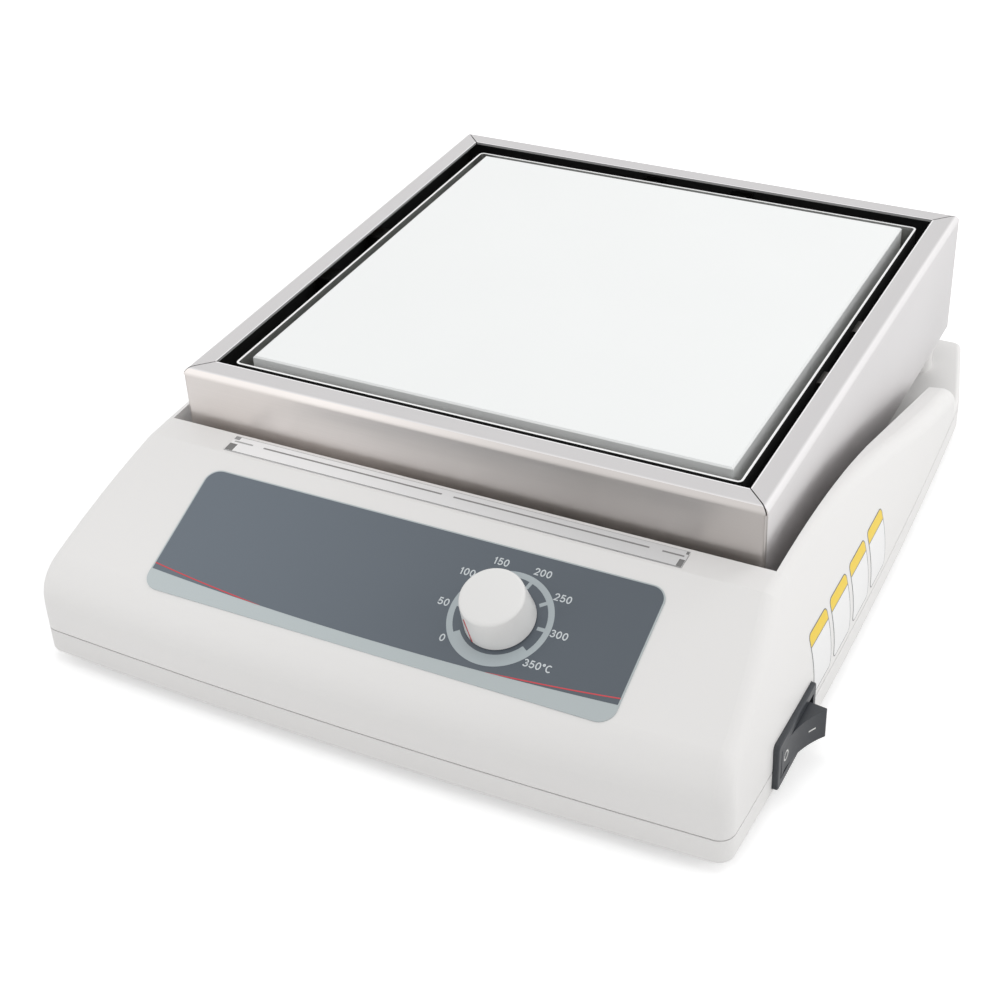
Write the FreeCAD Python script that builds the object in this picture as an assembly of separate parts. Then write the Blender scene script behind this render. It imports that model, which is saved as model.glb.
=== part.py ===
import FreeCAD, Part
import math
import os

# Laboratory hot plate: a square ceramic-coated heating plate in a folded steel frame,
# standing on a moulded two-part housing with a sloping control console in front.
# Millimetres, +Z up, -Y towards the user. The origin is the centre of the plate's top face.

V = FreeCAD.Vector

# Heating plate
plate_side = 180.0
plate_thickness = 12.0
plate_chamfer = 0.6

# Liner pan that carries the plate and the insulation
pan_gap = 3.15
pan_sheet = 1.2
pan_drop = 1.1
pan_corner = 3.0

# Folded steel frame round the pan
frame_gap = 4.9
flange_width = 8.5
frame_sheet = 1.0
frame_bend = 2.8
frame_corner = 2.0
frame_rise = 0.7
frame_height = 48.0
mitre_width = 0.5
mitre_depth = 3.2
frame_floor_lift = 3.0
floor_flange = 2.6

# Brackets between pan and frame
bracket_sheet = 0.8
bracket_width = 12.0
bracket_leg = 7.0
bracket_drop = 9.0
bracket_offset = 38.0

# Well of the upper housing
well_gap_side = 4.95
well_gap_front = 2.95
deck_gap = 15.0
wall = 2.5

# Console
console_depth = 73.3
strip_drop = 20.0
strip_fall = 0.6
strip_width = 10.8
slope_deg = 21.9
nose_radius = 15.5
front_radius = 2850.0
crease_radius = 5.5

# Sides of the housing
wing_width = 14.55
side_radius = 2760.0
side_widest_y = -93.0
lean_radius = 78.0
lean_height = 15.0
wing_knee_run = 100.7
wing_knee_drop = 12.0
wing_fall = 0.278
wing_end_y = 66.0
wing_sweep = 0.43
wing_cap = 8.0
shoulder_radius = 2.0

# Rear ledge
rear_ledge = 12.75
rear_half = 111.0
rear_sweep_y = 78.0
rear_corner = 4.0
rear_sweep_round = 20.0
deck_edge_round = 2.0

# Seam, lower tray and feet
seam_drop = 4.0
seam_groove = 0.5
lip_height = 1.4
lip_wall = 1.15
lip_clearance = 0.15
tray_height = 10.0
tray_edge_round = 1.2
foot_height = 4.0
foot_radius = 9.0
foot_taper = 1.0
foot_recess = 1.2
foot_front_x = 100.0
foot_rear_x = 92.0
foot_front_inset = 24.0
foot_rear_inset = 22.0
vent_length = 30.0
vent_width = 3.0
vent_pitch = 7.0
vent_count = 6
vent_x = 45.0
vent_y = -60.0
boss_hole = 7.5
head_recess = 3.0
foot_boss = 6.0
foot_step = 0.6
foot_rim = 2.0
foot_round = 0.5
rib_sheet = 1.5
rib_x = 92.0
rib_foot_rise = 22.0
rib_back_gap = 8.0

# Control panel overlay
overlay_length = 170.0
overlay_height = 49.5
overlay_thickness = 0.35
overlay_corner = 5.5
overlay_start = 7.3

# Dial and knob
dial_x = 37.6
dial_from_strip = 32.6
knob_base_radius = 12.0
knob_cap_radius = 10.5
knob_height = 12.0
knob_cap_round = 1.8
knob_lift = 0.9
knob_wall = 2.1
knob_boss_radius = 5.2
knob_top = 3.2
shaft_radius = 3.0
shaft_flat = 2.0
shaft_length = 11.2
bush_radius = 5.0
bush_height = 2.6
nut_flats = 14.0
nut_height = 2.2
controller_width = 42.0
controller_depth = 34.0
controller_height = 22.0
controller_corner = 3.0
cover_step = 3.0
cover_height = 5.0
shaft_socket = 12.0
knob_fit = 0.02
knob_key = 2.5
knob_hub_gap = 0.5
knob_end_gap = 0.3

# Indicator light bar in the top strip
light_length = 170.0
light_width = 6.6
light_setback = 2.9
light_recess = 0.15
light_flange = 0.7
light_flange_sheet = 1.5
guide_height = 4.0
guide_width = 4.0
lamp_radius = 1.5
lamp_height = 3.6
lamp_pitch = 52.0
board_thickness = 1.6
board_overhang = 2.0
lamp_boss_radius = 3.0
lamp_boss_inset = 6.0
lamp_boss_gap = 4.5
board_screw_radius = 1.25
board_screw_length = 5.0
board_head_radius = 2.3
board_head_height = 1.6
guide_end_gap = 2.0

# Rocker switch on the right-hand side
switch_y = -130.0
switch_seam_rise = 1.0
bezel_length = 34.4
bezel_width = 18.0
bezel_thickness = 2.2
bezel_corner = 1.5
switch_seat = 0.65
switch_body_length = 31.4
switch_body_width = 13.4
switch_body_depth = 20.6
switch_body_corner = 0.5
switch_wall = 1.0
rocker_half_length = 12.6
rocker_rise = 9.0
rocker_dip = 2.6
rocker_foot = 4.5
rocker_width = 11.0
rocker_tilt_deg = 15.0
pivot_depth = 5.3
trunnion_radius = 1.5
trunnion_length = 0.8
rocker_flank = 1.4
rocker_flank_drop = 1.0
rocker_heel = 5.7
rocker_round = 0.6
cavity_depth_gap = 2.5
bezel_round = 0.6
seat_rim = 1.5
terminal_thickness = 0.8
terminal_width = 6.3
terminal_length = 8.0
terminal_pitch = 9.5

# Power inlet on the left-hand side
inlet_y = -140.0
inlet_drop = 12.3
inlet_flange_length = 32.0
inlet_flange_height = 24.5
inlet_flange_thickness = 2.0
inlet_flange_corner = 3.0
inlet_body_length = 27.0
inlet_body_height = 20.0
inlet_body_depth = 20.0
inlet_wall = 1.6
socket_depth = 16.0
inlet_seat = 2.6
inlet_body_corner = 1.0
socket_corner = 3.0
pin_width = 4.0
pin_thickness = 2.0
pin_length = 13.5
pin_pitch = 7.0
earth_offset = 4.0

# Heater under the plate
element_radius = 3.25
element_pitch = 35.0
element_run = 90.0
element_tail = 32.0
clamp_length = 150.0
clamp_depth = 130.0
clamp_sheet = 2.0
clamp_screw_x = 69.0
clamp_screw_y = 52.0
stud_radius = 2.5
stud_offset = 80.0
stud_depth = 7.0
spacer_radius = 5.0
insulation_gap = 0.6
insulation_drop = 2.6
bulb_radius = 3.0
bulb_length = 75.0
bulb_groove = 6.6
capillary_radius = 0.9
capillary_bend = 6.0
cutout_radius = 8.0
cutout_can_height = 3.9
cutout_base_height = 2.6
cutout_base_step = 1.5
cutout_gap = 1.0
cutout_x = 35.0
clamp_corner = 4.0
stud_nut_flats = 8.0
stud_nut_height = 4.0
stud_end_gap = 1.0
bulb_end_gap = 3.0
capillary_lift = 3.0
capillary_aside = 8.0

# Posts between the deck and the frame floor
post_radius = 6.0
post_x = 99.5
post_y = 95.0
post_bore = 8.0

# Lead sleeve through the air gap under the frame
sleeve_radius = 8.0
sleeve_wall = 1.0
sleeve_y = -86.0
grommet_flange = 2.5
grommet_sheet = 1.5
sleeve_end = 2.0

# Screws and running clearances
screw_radius = 2.0
screw_head_radius = 3.75
screw_head_height = 2.4
screw_head_round = 1.1
screw_head_gap = 0.5
screw_slot_width = 1.0
screw_slot_depth = 0.9
screw_end_gap = 1.0
boss_radius = 4.5
boss_rise = 5.3
thread_clearance = 0.05
hole_clearance = 0.2
running_clearance = 0.05
fit_clearance = 0.15
seat_gap = 0.05

# Terminal block on the tray floor
block_length = 34.0
block_depth = 18.0
block_height = 14.0
block_x = -62.0
block_y = -143.0

block_screw_radius = 1.75
block_screw_length = 9.0
block_screw_pitch = 10.2
block_row_offset = 5.0
block_chamfer = 1.0

# Edge selection and how far cutters run past the faces they open
near = 0.01
overrun = 10.0

# Places worked out from the sizes above
pan_inner = plate_side / 2 + pan_gap
pan_outer = pan_inner + pan_sheet
flange_inner = pan_outer + frame_gap
frame_half = flange_inner + flange_width
frame_bottom = frame_rise - frame_height
floor_top = frame_bottom + frame_floor_lift + frame_sheet
pan_floor_top = floor_top + pan_sheet
deck_z = frame_bottom - deck_gap
seam_z = deck_z - seam_drop
tray_bottom = seam_z - tray_height
tray_floor_top = tray_bottom + wall
foot_bottom = tray_bottom - foot_height
well_half = frame_half + well_gap_side
well_front = -frame_half - well_gap_front
front_y = well_front - console_depth
strip_z = frame_rise - strip_drop
strip_front_y = well_front - strip_width
strip_front_z = strip_z - strip_fall
side_half = well_half + wing_width
lean_start = tray_bottom + lean_height
rear_y = frame_half + rear_ledge
wing_knee_y = well_front + wing_knee_run
wing_knee_z = strip_z - wing_knee_drop
wing_rear_y = wing_knee_y + (wing_knee_z - deck_z + 2.0) / wing_fall
wide = side_half + 25.0
sky = frame_rise + 60.0
slope = math.radians(slope_deg)
element_z = -plate_thickness - seat_gap - element_radius
clamp_bottom = element_z - element_radius - seat_gap - clamp_sheet
bulb_tip_y = -bulb_end_gap
bulb_z = -plate_thickness + bulb_groove / 2
boss_z = tray_bottom + boss_rise
boss_places = [
    (sx * x, y)
    for sx in (-1, 1)
    for x, y in (
        (side_half - 45.0, front_y + 16.0),
        (side_half - 23.0, -20.0),
        (rear_half - 50.0, rear_y - 10.5),
    )
]
post_places = [(sx * post_x, sy * post_y) for sx in (-1, 1) for sy in (-1, 1)]
stud_places = [(sx * stud_offset, sy * stud_offset) for sx in (-1, 1) for sy in (-1, 1)]
clamp_places = [(sx * clamp_screw_x, sy * clamp_screw_y) for sx in (-1, 1) for sy in (-1, 1)]
foot_places = [(sx * foot_front_x, front_y + foot_front_inset) for sx in (-1, 1)]
foot_places += [(sx * foot_rear_x, rear_y - foot_rear_inset) for sx in (-1, 1)]


# Basic forms

def box(x0, x1, y0, y1, z0, z1):
    return Part.makeBox(x1 - x0, y1 - y0, z1 - z0, V(x0, y0, z0))


def rod(radius, z0, z1, x=0.0, y=0.0):
    return Part.makeCylinder(radius, z1 - z0, V(x, y, z0))


def tube(outer, inner, z0, z1, x=0.0, y=0.0):
    return rod(outer, z0, z1, x, y).cut(rod(inner, z0 - 1, z1 + 1, x, y))


def hexagon(flats, z0, z1, x=0.0, y=0.0):
    radius = flats / 2 / math.cos(math.radians(30))
    corners = [
        V(x + radius * math.cos(math.radians(60 * i)), y + radius * math.sin(math.radians(60 * i)), z0)
        for i in range(6)
    ]
    return Part.Face(Part.makePolygon(corners + corners[:1])).extrude(V(0, 0, z1 - z0))


def rounded_slab(length, depth, z0, z1, radius, x=0.0, y=0.0):
    slab = box(x - length / 2, x + length / 2, y - depth / 2, y + depth / 2, z0, z1)
    upright = [e for e in slab.Edges if e.BoundBox.ZLength > (z1 - z0) / 2]
    return slab.makeFillet(radius, upright)


def group(solids):
    return Part.makeCompound(solids)


def fused(first, others):
    return first.multiFuse(others).removeSplitter()


def edges_where(shape, test):
    return [e for e in shape.Edges if test(e.BoundBox, e.valueAt((e.FirstParameter + e.LastParameter) / 2))]


def pan_head_screw(x, y, face_z, length, direction):
    # the head lies beyond the face it bears on, and the shank runs the other way
    head_z = face_z - direction * screw_head_height
    low, high = sorted((face_z, head_z))
    head = rod(screw_head_radius, low, high, x, y)
    rim = edges_where(head, lambda b, c: abs(c.z - head_z) < near)
    head = head.makeFillet(screw_head_round, rim)
    half = screw_slot_width / 2
    depth = screw_slot_depth
    slot = box(x - screw_head_radius, x + screw_head_radius, y - half, y + half, head_z - depth, head_z + depth)
    low, high = sorted((face_z, face_z + direction * length))
    return fused(head.cut(slot), [rod(screw_radius, low, high, x, y)])


# Moulded housing: one outer form, and the same form inset by the wall for its hollow

def strip_height(y):
    return strip_z + (y - well_front) * strip_fall / strip_width


def line_meet(p, p_slope, q, q_slope):
    y = (q[1] - p[1] + p_slope * p[0] - q_slope * q[0]) / (p_slope - q_slope)
    return y, p[1] + p_slope * (y - p[0])


def side_section(inset, cap):
    # profile in YZ: flat strip, sloping panel, and the wing line that falls to the rear
    rear = wing_rear_y
    knee = (wing_knee_y, wing_knee_z - cap)
    wing_rear = (rear, knee[1] - wing_fall * (rear - knee[0]))
    start = (well_front, strip_z - cap)
    run = knee[0] - start[0]
    bend = (-wing_fall * run - (knee[1] - start[1])) / run ** 2
    middle = (start[0] + run / 2, start[1] + (-wing_fall - 2 * bend * run) * run / 2 + bend * run ** 2 / 4)
    strip_back = (well_front, strip_z - inset)
    panel_top = (strip_front_y, strip_front_z - inset / math.cos(slope))
    brow = line_meet(strip_back, strip_fall / strip_width, panel_top, math.tan(slope))
    far_y = front_y - 20
    panel_end = (far_y, brow[1] + math.tan(slope) * (far_y - brow[0]))
    low = tray_bottom + inset
    outline = [(rear, low), wing_rear, knee, (middle, start), strip_back, brow]
    outline += [panel_end, (far_y, low), (rear, low)]
    edges = []
    here = V(-wide, *outline[0])
    for point in outline[1:]:
        if isinstance(point[0], tuple):
            via = V(-wide, *point[0])
            there = V(-wide, *point[1])
            edges.append(Part.Arc(here, via, there).toShape())
        else:
            there = V(-wide, *point)
            if here.distanceToPoint(there) > 1e-6:
                edges.append(Part.LineSegment(here, there).toShape())
        here = there
    return Part.Face(Part.Wire(edges)).extrude(V(2 * wide, 0, 0))


def plan_form(inset, swept):
    # plan outline with the bowed front, and the drawn-in corners of the rear ledge
    apex = front_y + inset
    sag = wide ** 2 / 2 / (front_radius - inset)
    bow = Part.Arc(V(-wide, apex + sag, 0), V(0, apex, 0), V(wide, apex + sag, 0)).toShape()
    if swept:
        start = V(side_at(rear_sweep_y), rear_sweep_y, 0)
        run = V(rear_half, rear_y, 0) - start
        run.normalize()
        start = start - V(run.y, -run.x, 0) * inset
        outer = start + run * ((wide - start.x) / run.x)
        inner = start + run * ((rear_y - inset - start.y) / run.y)
        corners = [V(wide, apex + sag, 0), outer, inner]
    else:
        corners = [V(wide, apex + sag, 0), V(wide, rear_y + 20, 0)]
    corners += [V(-p.x, p.y, 0) for p in reversed(corners)]
    edges = [bow] + [Part.LineSegment(a, b).toShape() for a, b in zip(corners, corners[1:])]
    face = Part.Face(Part.Wire(edges))
    face.translate(V(0, 0, tray_bottom - 10))
    return face.extrude(V(0, 0, sky - tray_bottom + 10))


def side_at(y):
    return side_half - (y - side_widest_y) ** 2 / 2 / side_radius


def side_form(inset):
    # each side is turned about a far upright axis: upright below, leaning in above
    centre_x = side_half - lean_radius
    radius = lean_radius - inset
    top = frame_rise + 5
    rise = top - lean_start
    y = side_widest_y
    low = V(side_half - inset, y, tray_bottom - 12)
    start = V(side_half - inset, y, lean_start)
    via = V(centre_x + math.sqrt(radius ** 2 - (rise / 2) ** 2), y, lean_start + rise / 2)
    end = V(centre_x + math.sqrt(radius ** 2 - rise ** 2), y, top)
    far_top = V(-wide - 10, y, top)
    far_low = V(-wide - 10, y, tray_bottom - 12)
    edges = [
        Part.LineSegment(far_low, low).toShape(),
        Part.LineSegment(low, start).toShape(),
        Part.Arc(start, via, end).toShape(),
        Part.LineSegment(end, far_top).toShape(),
        Part.LineSegment(far_top, far_low).toShape(),
    ]
    face = Part.Face(Part.Wire(edges))
    axis = V(side_half - side_radius, side_widest_y, 0)
    face.rotate(axis, V(0, 0, 1), -4)
    right = face.revolve(axis, V(0, 0, 1), 10)
    return right.common(right.mirror(V(0, 0, 0), V(1, 0, 0)))


def on_side(point):
    x = side_at(point.y)
    if point.z > lean_start:
        x -= lean_radius - math.sqrt(lean_radius ** 2 - (point.z - lean_start) ** 2)
    return abs(abs(point.x) - x) < 0.15


def wing_block(inset, cap):
    block = side_section(inset, cap).common(plan_form(inset, False))
    nose = edges_where(
        block, lambda b, c: b.XLength > side_half and b.YMin < front_y + 30 and b.ZMax > lean_start)
    return block.makeFillet(nose_radius - inset, nose).common(side_form(inset))


def rear_cut(inset):
    # all that lies behind the swept ends of the wings
    y = wing_end_y - inset
    back = y + wing_sweep * (wide - well_half)
    far_y = rear_y + 30
    corners = [(-wide, back), (-well_half, y), (well_half, y), (wide, back), (wide, far_y), (-wide, far_y)]
    points = [V(px, py, tray_bottom - 20) for px, py in corners]
    return Part.Face(Part.makePolygon(points + points[:1])).extrude(V(0, 0, sky - tray_bottom + 20))


def rear_block(inset):
    low = tray_bottom + inset
    slab = box(-wide, wide, 0, rear_y + 5, low, deck_z - inset)
    block = plan_form(inset, True).common(side_form(inset)).common(slab)
    corner = upright_edges(block, lambda c: c.y > rear_sweep_y + 5)
    block = block.makeFillet(max(rear_corner - inset, 0.5), corner)
    return block.makeFillet(rear_sweep_round, upright_edges(block, lambda c: abs(c.y - rear_sweep_y) < 3))


def upright_edges(block, test):
    return edges_where(block, lambda b, c: b.ZLength > seam_drop and b.XLength < 1 and b.YLength < 1 and test(c))


def housing_form():
    form = wing_block(0, 0)
    crease = edges_where(
        form,
        lambda b, c: on_side(c) and c.y < wing_rear_y - 1 and b.XLength < 20 and b.ZLength > 0.2
        and not (b.ZLength > 4 and b.XLength < 0.01 and c.y > 0)
        and (c.y < front_y + 40 or c.z > seam_z - 3),
    )
    form = form.makeFillet(crease_radius, crease).cut(rear_cut(0))
    rear = rear_block(0)
    ledge = edges_where(rear, lambda b, c: abs(c.z - deck_z) < 0.05 and c.y > 2)
    rear = rear.makeFillet(deck_edge_round, ledge)
    form = form.fuse(rear).removeSplitter()
    shoulder = edges_where(
        form,
        lambda b, c: c.z > deck_z + 1 and b.ZLength < 6
        and abs(c.y - wing_end_y - wing_sweep * max(0, abs(c.x) - well_half)) < shoulder_radius / 3,
    )
    form = form.makeFillet(shoulder_radius, shoulder)
    foot_edge = edges_where(form, lambda b, c: abs(c.z - tray_bottom) < 0.05)
    return form.makeFillet(tray_edge_round, foot_edge)


def hollow_form():
    return wing_block(wall, wing_cap).cut(rear_cut(wall)).fuse(rear_block(wall)).removeSplitter()


def well_form(inset):
    return box(-well_half - inset, well_half + inset, well_front - inset, rear_y + 30, deck_z - inset, sky)


def half_space(z0, z1):
    return box(-wide - 20, wide + 20, front_y - 40, rear_y + 40, z0, z1)


def panel_place(x=dial_x, along=dial_from_strip, lift=0.0):
    # a place on the sloping panel: local Z is its outward normal, local Y runs up the slope
    y = strip_front_y - along * math.cos(slope) - lift * math.sin(slope)
    z = strip_front_z - along * math.sin(slope) + lift * math.cos(slope)
    return FreeCAD.Placement(V(x, y, z), FreeCAD.Rotation(V(1, 0, 0), slope_deg))


def on_panel(shape, **where):
    placed = shape.copy()
    placed.Placement = panel_place(**where).multiply(placed.Placement)
    return placed


def light_prism(half, y0, y1, top_drop, depth):
    # a bar along X whose top follows the strip
    points = [
        V(-half, y0, strip_height(y0) - top_drop),
        V(-half, y1, strip_height(y1) - top_drop),
        V(-half, y1, strip_height(y1) - depth),
        V(-half, y0, strip_height(y0) - depth),
    ]
    return Part.Face(Part.makePolygon(points + points[:1])).extrude(V(2 * half, 0, 0))


light_y1 = well_front - light_setback
light_y0 = light_y1 - light_width
light_half = light_length / 2
light_mid = (light_y0 + light_y1) / 2
guide_top = strip_height(light_mid - guide_width / 2) - wall - light_flange_sheet - seat_gap
lamp_base = guide_top - guide_height - lamp_height - seat_gap
board_boss_x = light_half - lamp_boss_inset
board_boss_y = light_y0 - lamp_boss_gap

controller_foot = panel_place(lift=-wall - controller_height).Base + V(capillary_aside, 0, 0)
switch_x = side_at(switch_y) - switch_seat
switch_z = seam_z + switch_seam_rise
pivot_x = switch_x + bezel_thickness - pivot_depth
inlet_x = -side_at(inlet_y) + inlet_seat
inlet_z = seam_z + inlet_drop


def switch_block(length, width, x0, x1, corner):
    # a rounded block on the right-hand side, built upright and turned to face +X
    slab = rounded_slab(width, length, x0, x1, corner)
    slab.rotate(V(0, 0, 0), V(0, 1, 0), 90)
    slab.translate(V(0, switch_y, switch_z))
    return slab


def inlet_block(length, height, depth0, depth1, corner):
    # a rounded block on the left-hand side: depths are measured inwards from the seat
    slab = rounded_slab(height, length, -depth1, -depth0, corner)
    slab.rotate(V(0, 0, 0), V(0, 1, 0), -90)
    slab.translate(V(inlet_x, inlet_y, inlet_z))
    return slab


def wall_cuts():
    # openings in the side walls that both halves of the housing share
    fit = fit_clearance
    seat = switch_block(
        bezel_length + 2 * fit, bezel_width + 2 * fit, switch_x, switch_x + overrun, bezel_corner + fit)
    hole = switch_block(
        switch_body_length + 2 * fit, switch_body_width + 2 * fit, switch_x - overrun, switch_x + 1,
        switch_body_corner + fit)
    inlet_seat_cut = inlet_block(
        inlet_flange_length + 2 * fit, inlet_flange_height + 2 * fit, -overrun, 0, inlet_flange_corner + fit)
    inlet_hole = inlet_block(
        inlet_body_length + 2 * fit, inlet_body_height + 2 * fit, -1, overrun, inlet_body_corner + fit)
    return [seat, hole, inlet_seat_cut, inlet_hole]


def seat_backing(outer):
    # thickened wall behind the two recessed seats
    rim = 2 * seat_rim
    right = switch_block(bezel_length + rim, bezel_width + rim, switch_x - wall, switch_x + overrun, bezel_corner)
    left = inlet_block(
        inlet_flange_length + rim, inlet_flange_height + rim, -overrun, wall, inlet_flange_corner)
    return [right.common(outer), left.common(outer)]


def outline_slab(inset, z0, z1):
    # an upright slab with the housing's outline at the seam, inset by some of the wall
    low = z0 - seam_drop - 1
    slab = plan_form(inset, True).common(side_form(inset)).common(half_space(low, z1))
    front = upright_edges(slab, lambda c: c.y < front_y + 30)
    rear = upright_edges(slab, lambda c: c.y > rear_sweep_y + 5)
    slab = slab.makeFillet(crease_radius - inset, front).makeFillet(max(rear_corner - inset, 0.5), rear)
    slab = slab.makeFillet(rear_sweep_round, upright_edges(slab, lambda c: abs(c.y - rear_sweep_y) < 3))
    return slab.common(half_space(z0, z1))


def outline_ring(outer_inset, inner_inset, z0, z1):
    return outline_slab(outer_inset, z0, z1).cut(outline_slab(inner_inset, z0 - 1, z1 + 1))


def posts_at(places, radius, z0, z1):
    return [rod(radius, z0, z1, x, y) for x, y in places]


def upper_housing():
    outer = housing_form()
    above = half_space(seam_z, sky)
    well = well_form(0)
    body = outer.cut(hollow_form().cut(well_form(wall))).common(above).cut(well)
    bosses = [post.common(outer) for post in posts_at(boss_places, boss_radius, boss_z, sky)]
    lamp_bosses = [(sx * board_boss_x, board_boss_y) for sx in (-1, 1)]
    bosses += [post.common(outer) for post in posts_at(lamp_bosses, lamp_boss_radius, lamp_base, sky)]
    ribs = [rib.common(outer).common(above) for rib in console_ribs()]
    backing = [piece.common(above) for piece in seat_backing(outer)]
    body = body.multiFuse(bosses + ribs + backing).cut(well)
    rebate = outline_ring(
        wall - lip_wall - lip_clearance, wall + lip_clearance, seam_z - 1, seam_z + lip_height + lip_clearance)
    body = body.cut(rebate.cut(group(posts_at(boss_places, boss_radius, boss_z, seam_z + overrun))))
    cuts = wall_cuts()
    cuts += posts_at(boss_places, screw_radius + thread_clearance, boss_z - 1, boss_z + boss_hole)
    board_thread = board_screw_length - board_thickness + screw_end_gap
    cuts += posts_at(lamp_bosses, board_screw_radius + thread_clearance, lamp_base - 1, lamp_base + board_thread)
    cuts += posts_at(post_places, screw_radius + hole_clearance, deck_z - wall - 1, deck_z + 1)
    cuts.append(rod(sleeve_radius + grommet_sheet, deck_z - wall - 1, deck_z + 1, 0, sleeve_y))
    slot_y0 = light_y0 - fit_clearance
    slot_y1 = light_y1 + fit_clearance
    cuts.append(light_prism(light_half + fit_clearance, slot_y0, slot_y1, -overrun, overrun))
    cuts.append(on_panel(rod(bush_radius + hole_clearance, -overrun, overrun)))
    for cutter in cuts:
        body = body.cut(cutter)
    return body.removeSplitter()


def console_ribs():
    # stiffening ribs under the panel and the strip, cut back below the panel's parts
    ribs = []
    for x in (-rib_x, rib_x):
        rib_back = light_y0 - rib_back_gap
        ribs.append(box(x - rib_sheet / 2, x + rib_sheet / 2, front_y, rib_back, seam_z + rib_foot_rise, sky))
    return ribs


def lower_tray():
    tray = outline_slab(0, tray_bottom, seam_z - seam_groove)
    tray = tray.makeFillet(tray_edge_round, edges_where(tray, lambda b, c: abs(c.z - tray_bottom) < near))
    tray = tray.cut(outline_slab(wall, tray_floor_top, seam_z + 1))
    lip = outline_ring(wall - lip_wall, wall, tray_floor_top, seam_z + lip_height)
    backing = seat_backing(outline_slab(0, tray_bottom + wall / 2, seam_z - seam_groove))
    bosses = posts_at(boss_places, boss_radius, tray_bottom + wall / 2, boss_z)
    bosses += posts_at(foot_places, boss_radius, tray_bottom + foot_recess, tray_bottom + foot_boss)
    bosses += posts_at(foot_places, foot_radius + foot_rim, tray_bottom + wall / 2, tray_floor_top + foot_recess)
    tray = tray.multiFuse([lip] + backing + bosses)
    cuts = wall_cuts()
    cuts += posts_at(boss_places, screw_radius + hole_clearance, tray_bottom - 1, boss_z + 1)
    head_hole = screw_head_radius + screw_head_gap
    cuts += posts_at(boss_places, head_hole, tray_bottom - 1, tray_bottom + head_recess)
    cuts += posts_at(foot_places, foot_radius + fit_clearance, tray_bottom - 1, tray_bottom + foot_recess)
    cuts += posts_at(foot_places, screw_radius + thread_clearance, tray_bottom, tray_bottom + foot_boss + 1)
    end_round = vent_width / 2 - near
    for sx in (-1, 1):
        for i in range(vent_count):
            y = vent_y + (i - (vent_count - 1) / 2) * vent_pitch
            cuts.append(rounded_slab(
                vent_length, vent_width, tray_bottom - 1, tray_floor_top + 1, end_round, sx * vent_x, y))
    for cutter in cuts:
        tray = tray.cut(cutter)
    return tray.removeSplitter()


def housing_screws():
    bearing = tray_bottom + head_recess
    length = boss_z + boss_hole - screw_end_gap - bearing
    return group([pan_head_screw(x, y, bearing, length, 1) for x, y in boss_places])


def foot_screws():
    bearing = foot_bottom + head_recess
    length = tray_bottom + foot_boss - screw_end_gap - bearing
    return group([pan_head_screw(x, y, bearing, length, 1) for x, y in foot_places])


def rubber_feet():
    feet = []
    for x, y in foot_places:
        neck = rod(foot_radius, tray_bottom - foot_step, tray_bottom + foot_recess, x, y)
        pad = Part.makeCone(foot_radius - foot_taper, foot_radius, foot_height - foot_step, V(x, y, foot_bottom))
        foot = neck.fuse(pad).removeSplitter()
        foot = foot.makeFillet(foot_round, edges_where(foot, lambda b, c: abs(b.ZMax - foot_bottom) < near))
        foot = foot.cut(rod(screw_radius + hole_clearance, foot_bottom - 1, tray_floor_top, x, y))
        head_hole = screw_head_radius + screw_head_gap
        feet.append(foot.cut(rod(head_hole, foot_bottom - 1, foot_bottom + head_recess, x, y)))
    return group(feet)


# Steel frame, liner pan and what they hold

def folded_lid(half, bottom, top, corner, bend):
    # a square block whose upright corners and top edges are rounded
    block = rounded_slab(2 * half, 2 * half, bottom, top, corner)
    return block.makeFillet(bend, edges_where(block, lambda b, c: abs(c.z - top) < near))


def heater_frame():
    outer = folded_lid(frame_half, frame_bottom, frame_rise, frame_corner + frame_bend, frame_bend)
    inner = folded_lid(
        frame_half - frame_sheet, frame_bottom - overrun, frame_rise - frame_sheet,
        frame_corner + frame_bend - frame_sheet, frame_bend - frame_sheet)
    opening = box(-flange_inner, flange_inner, -flange_inner, flange_inner, -overrun, overrun)
    frame = outer.cut(inner).cut(opening)
    half = mitre_width / 2
    near_end = (flange_inner - frame_sheet) * math.sqrt(2)
    far_end = (frame_half + overrun) * math.sqrt(2)
    for i in range(4):
        slit = box(near_end, far_end, -half, half, frame_rise - mitre_depth, frame_rise + 1)
        slit.rotate(V(0, 0, 0), V(0, 0, 1), 45 + 90 * i)
        frame = frame.cut(slit)
    return frame


def frame_floor():
    half = frame_half - frame_sheet
    corner = frame_corner + frame_bend - frame_sheet + thread_clearance
    low = floor_top - frame_sheet - floor_flange
    side = 2 * (half - frame_sheet)
    tray = rounded_slab(2 * half, 2 * half, low, floor_top, corner)
    tray = tray.cut(rounded_slab(side, side, low - 1, floor_top - frame_sheet, corner - frame_sheet))
    holes = posts_at(stud_places, stud_radius + hole_clearance, low - 1, floor_top + 1)
    holes += posts_at(post_places, screw_radius + hole_clearance, low - 1, floor_top + 1)
    holes.append(rod(sleeve_radius - sleeve_wall, low - 1, floor_top + 1, 0, sleeve_y))
    return tray.cut(group(holes))


def liner_pan():
    top = -pan_drop
    outer = rounded_slab(2 * pan_outer, 2 * pan_outer, floor_top, top, pan_corner)
    inner = rounded_slab(2 * pan_inner, 2 * pan_inner, pan_floor_top, top + 1, pan_corner - pan_sheet)
    pan = outer.cut(inner)
    holes = posts_at(stud_places, stud_radius + hole_clearance, floor_top - 1, pan_floor_top + 1)
    holes.append(rod(sleeve_radius - sleeve_wall, floor_top - 1, pan_floor_top + 1, 0, sleeve_y))
    return pan.cut(group(holes))


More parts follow.
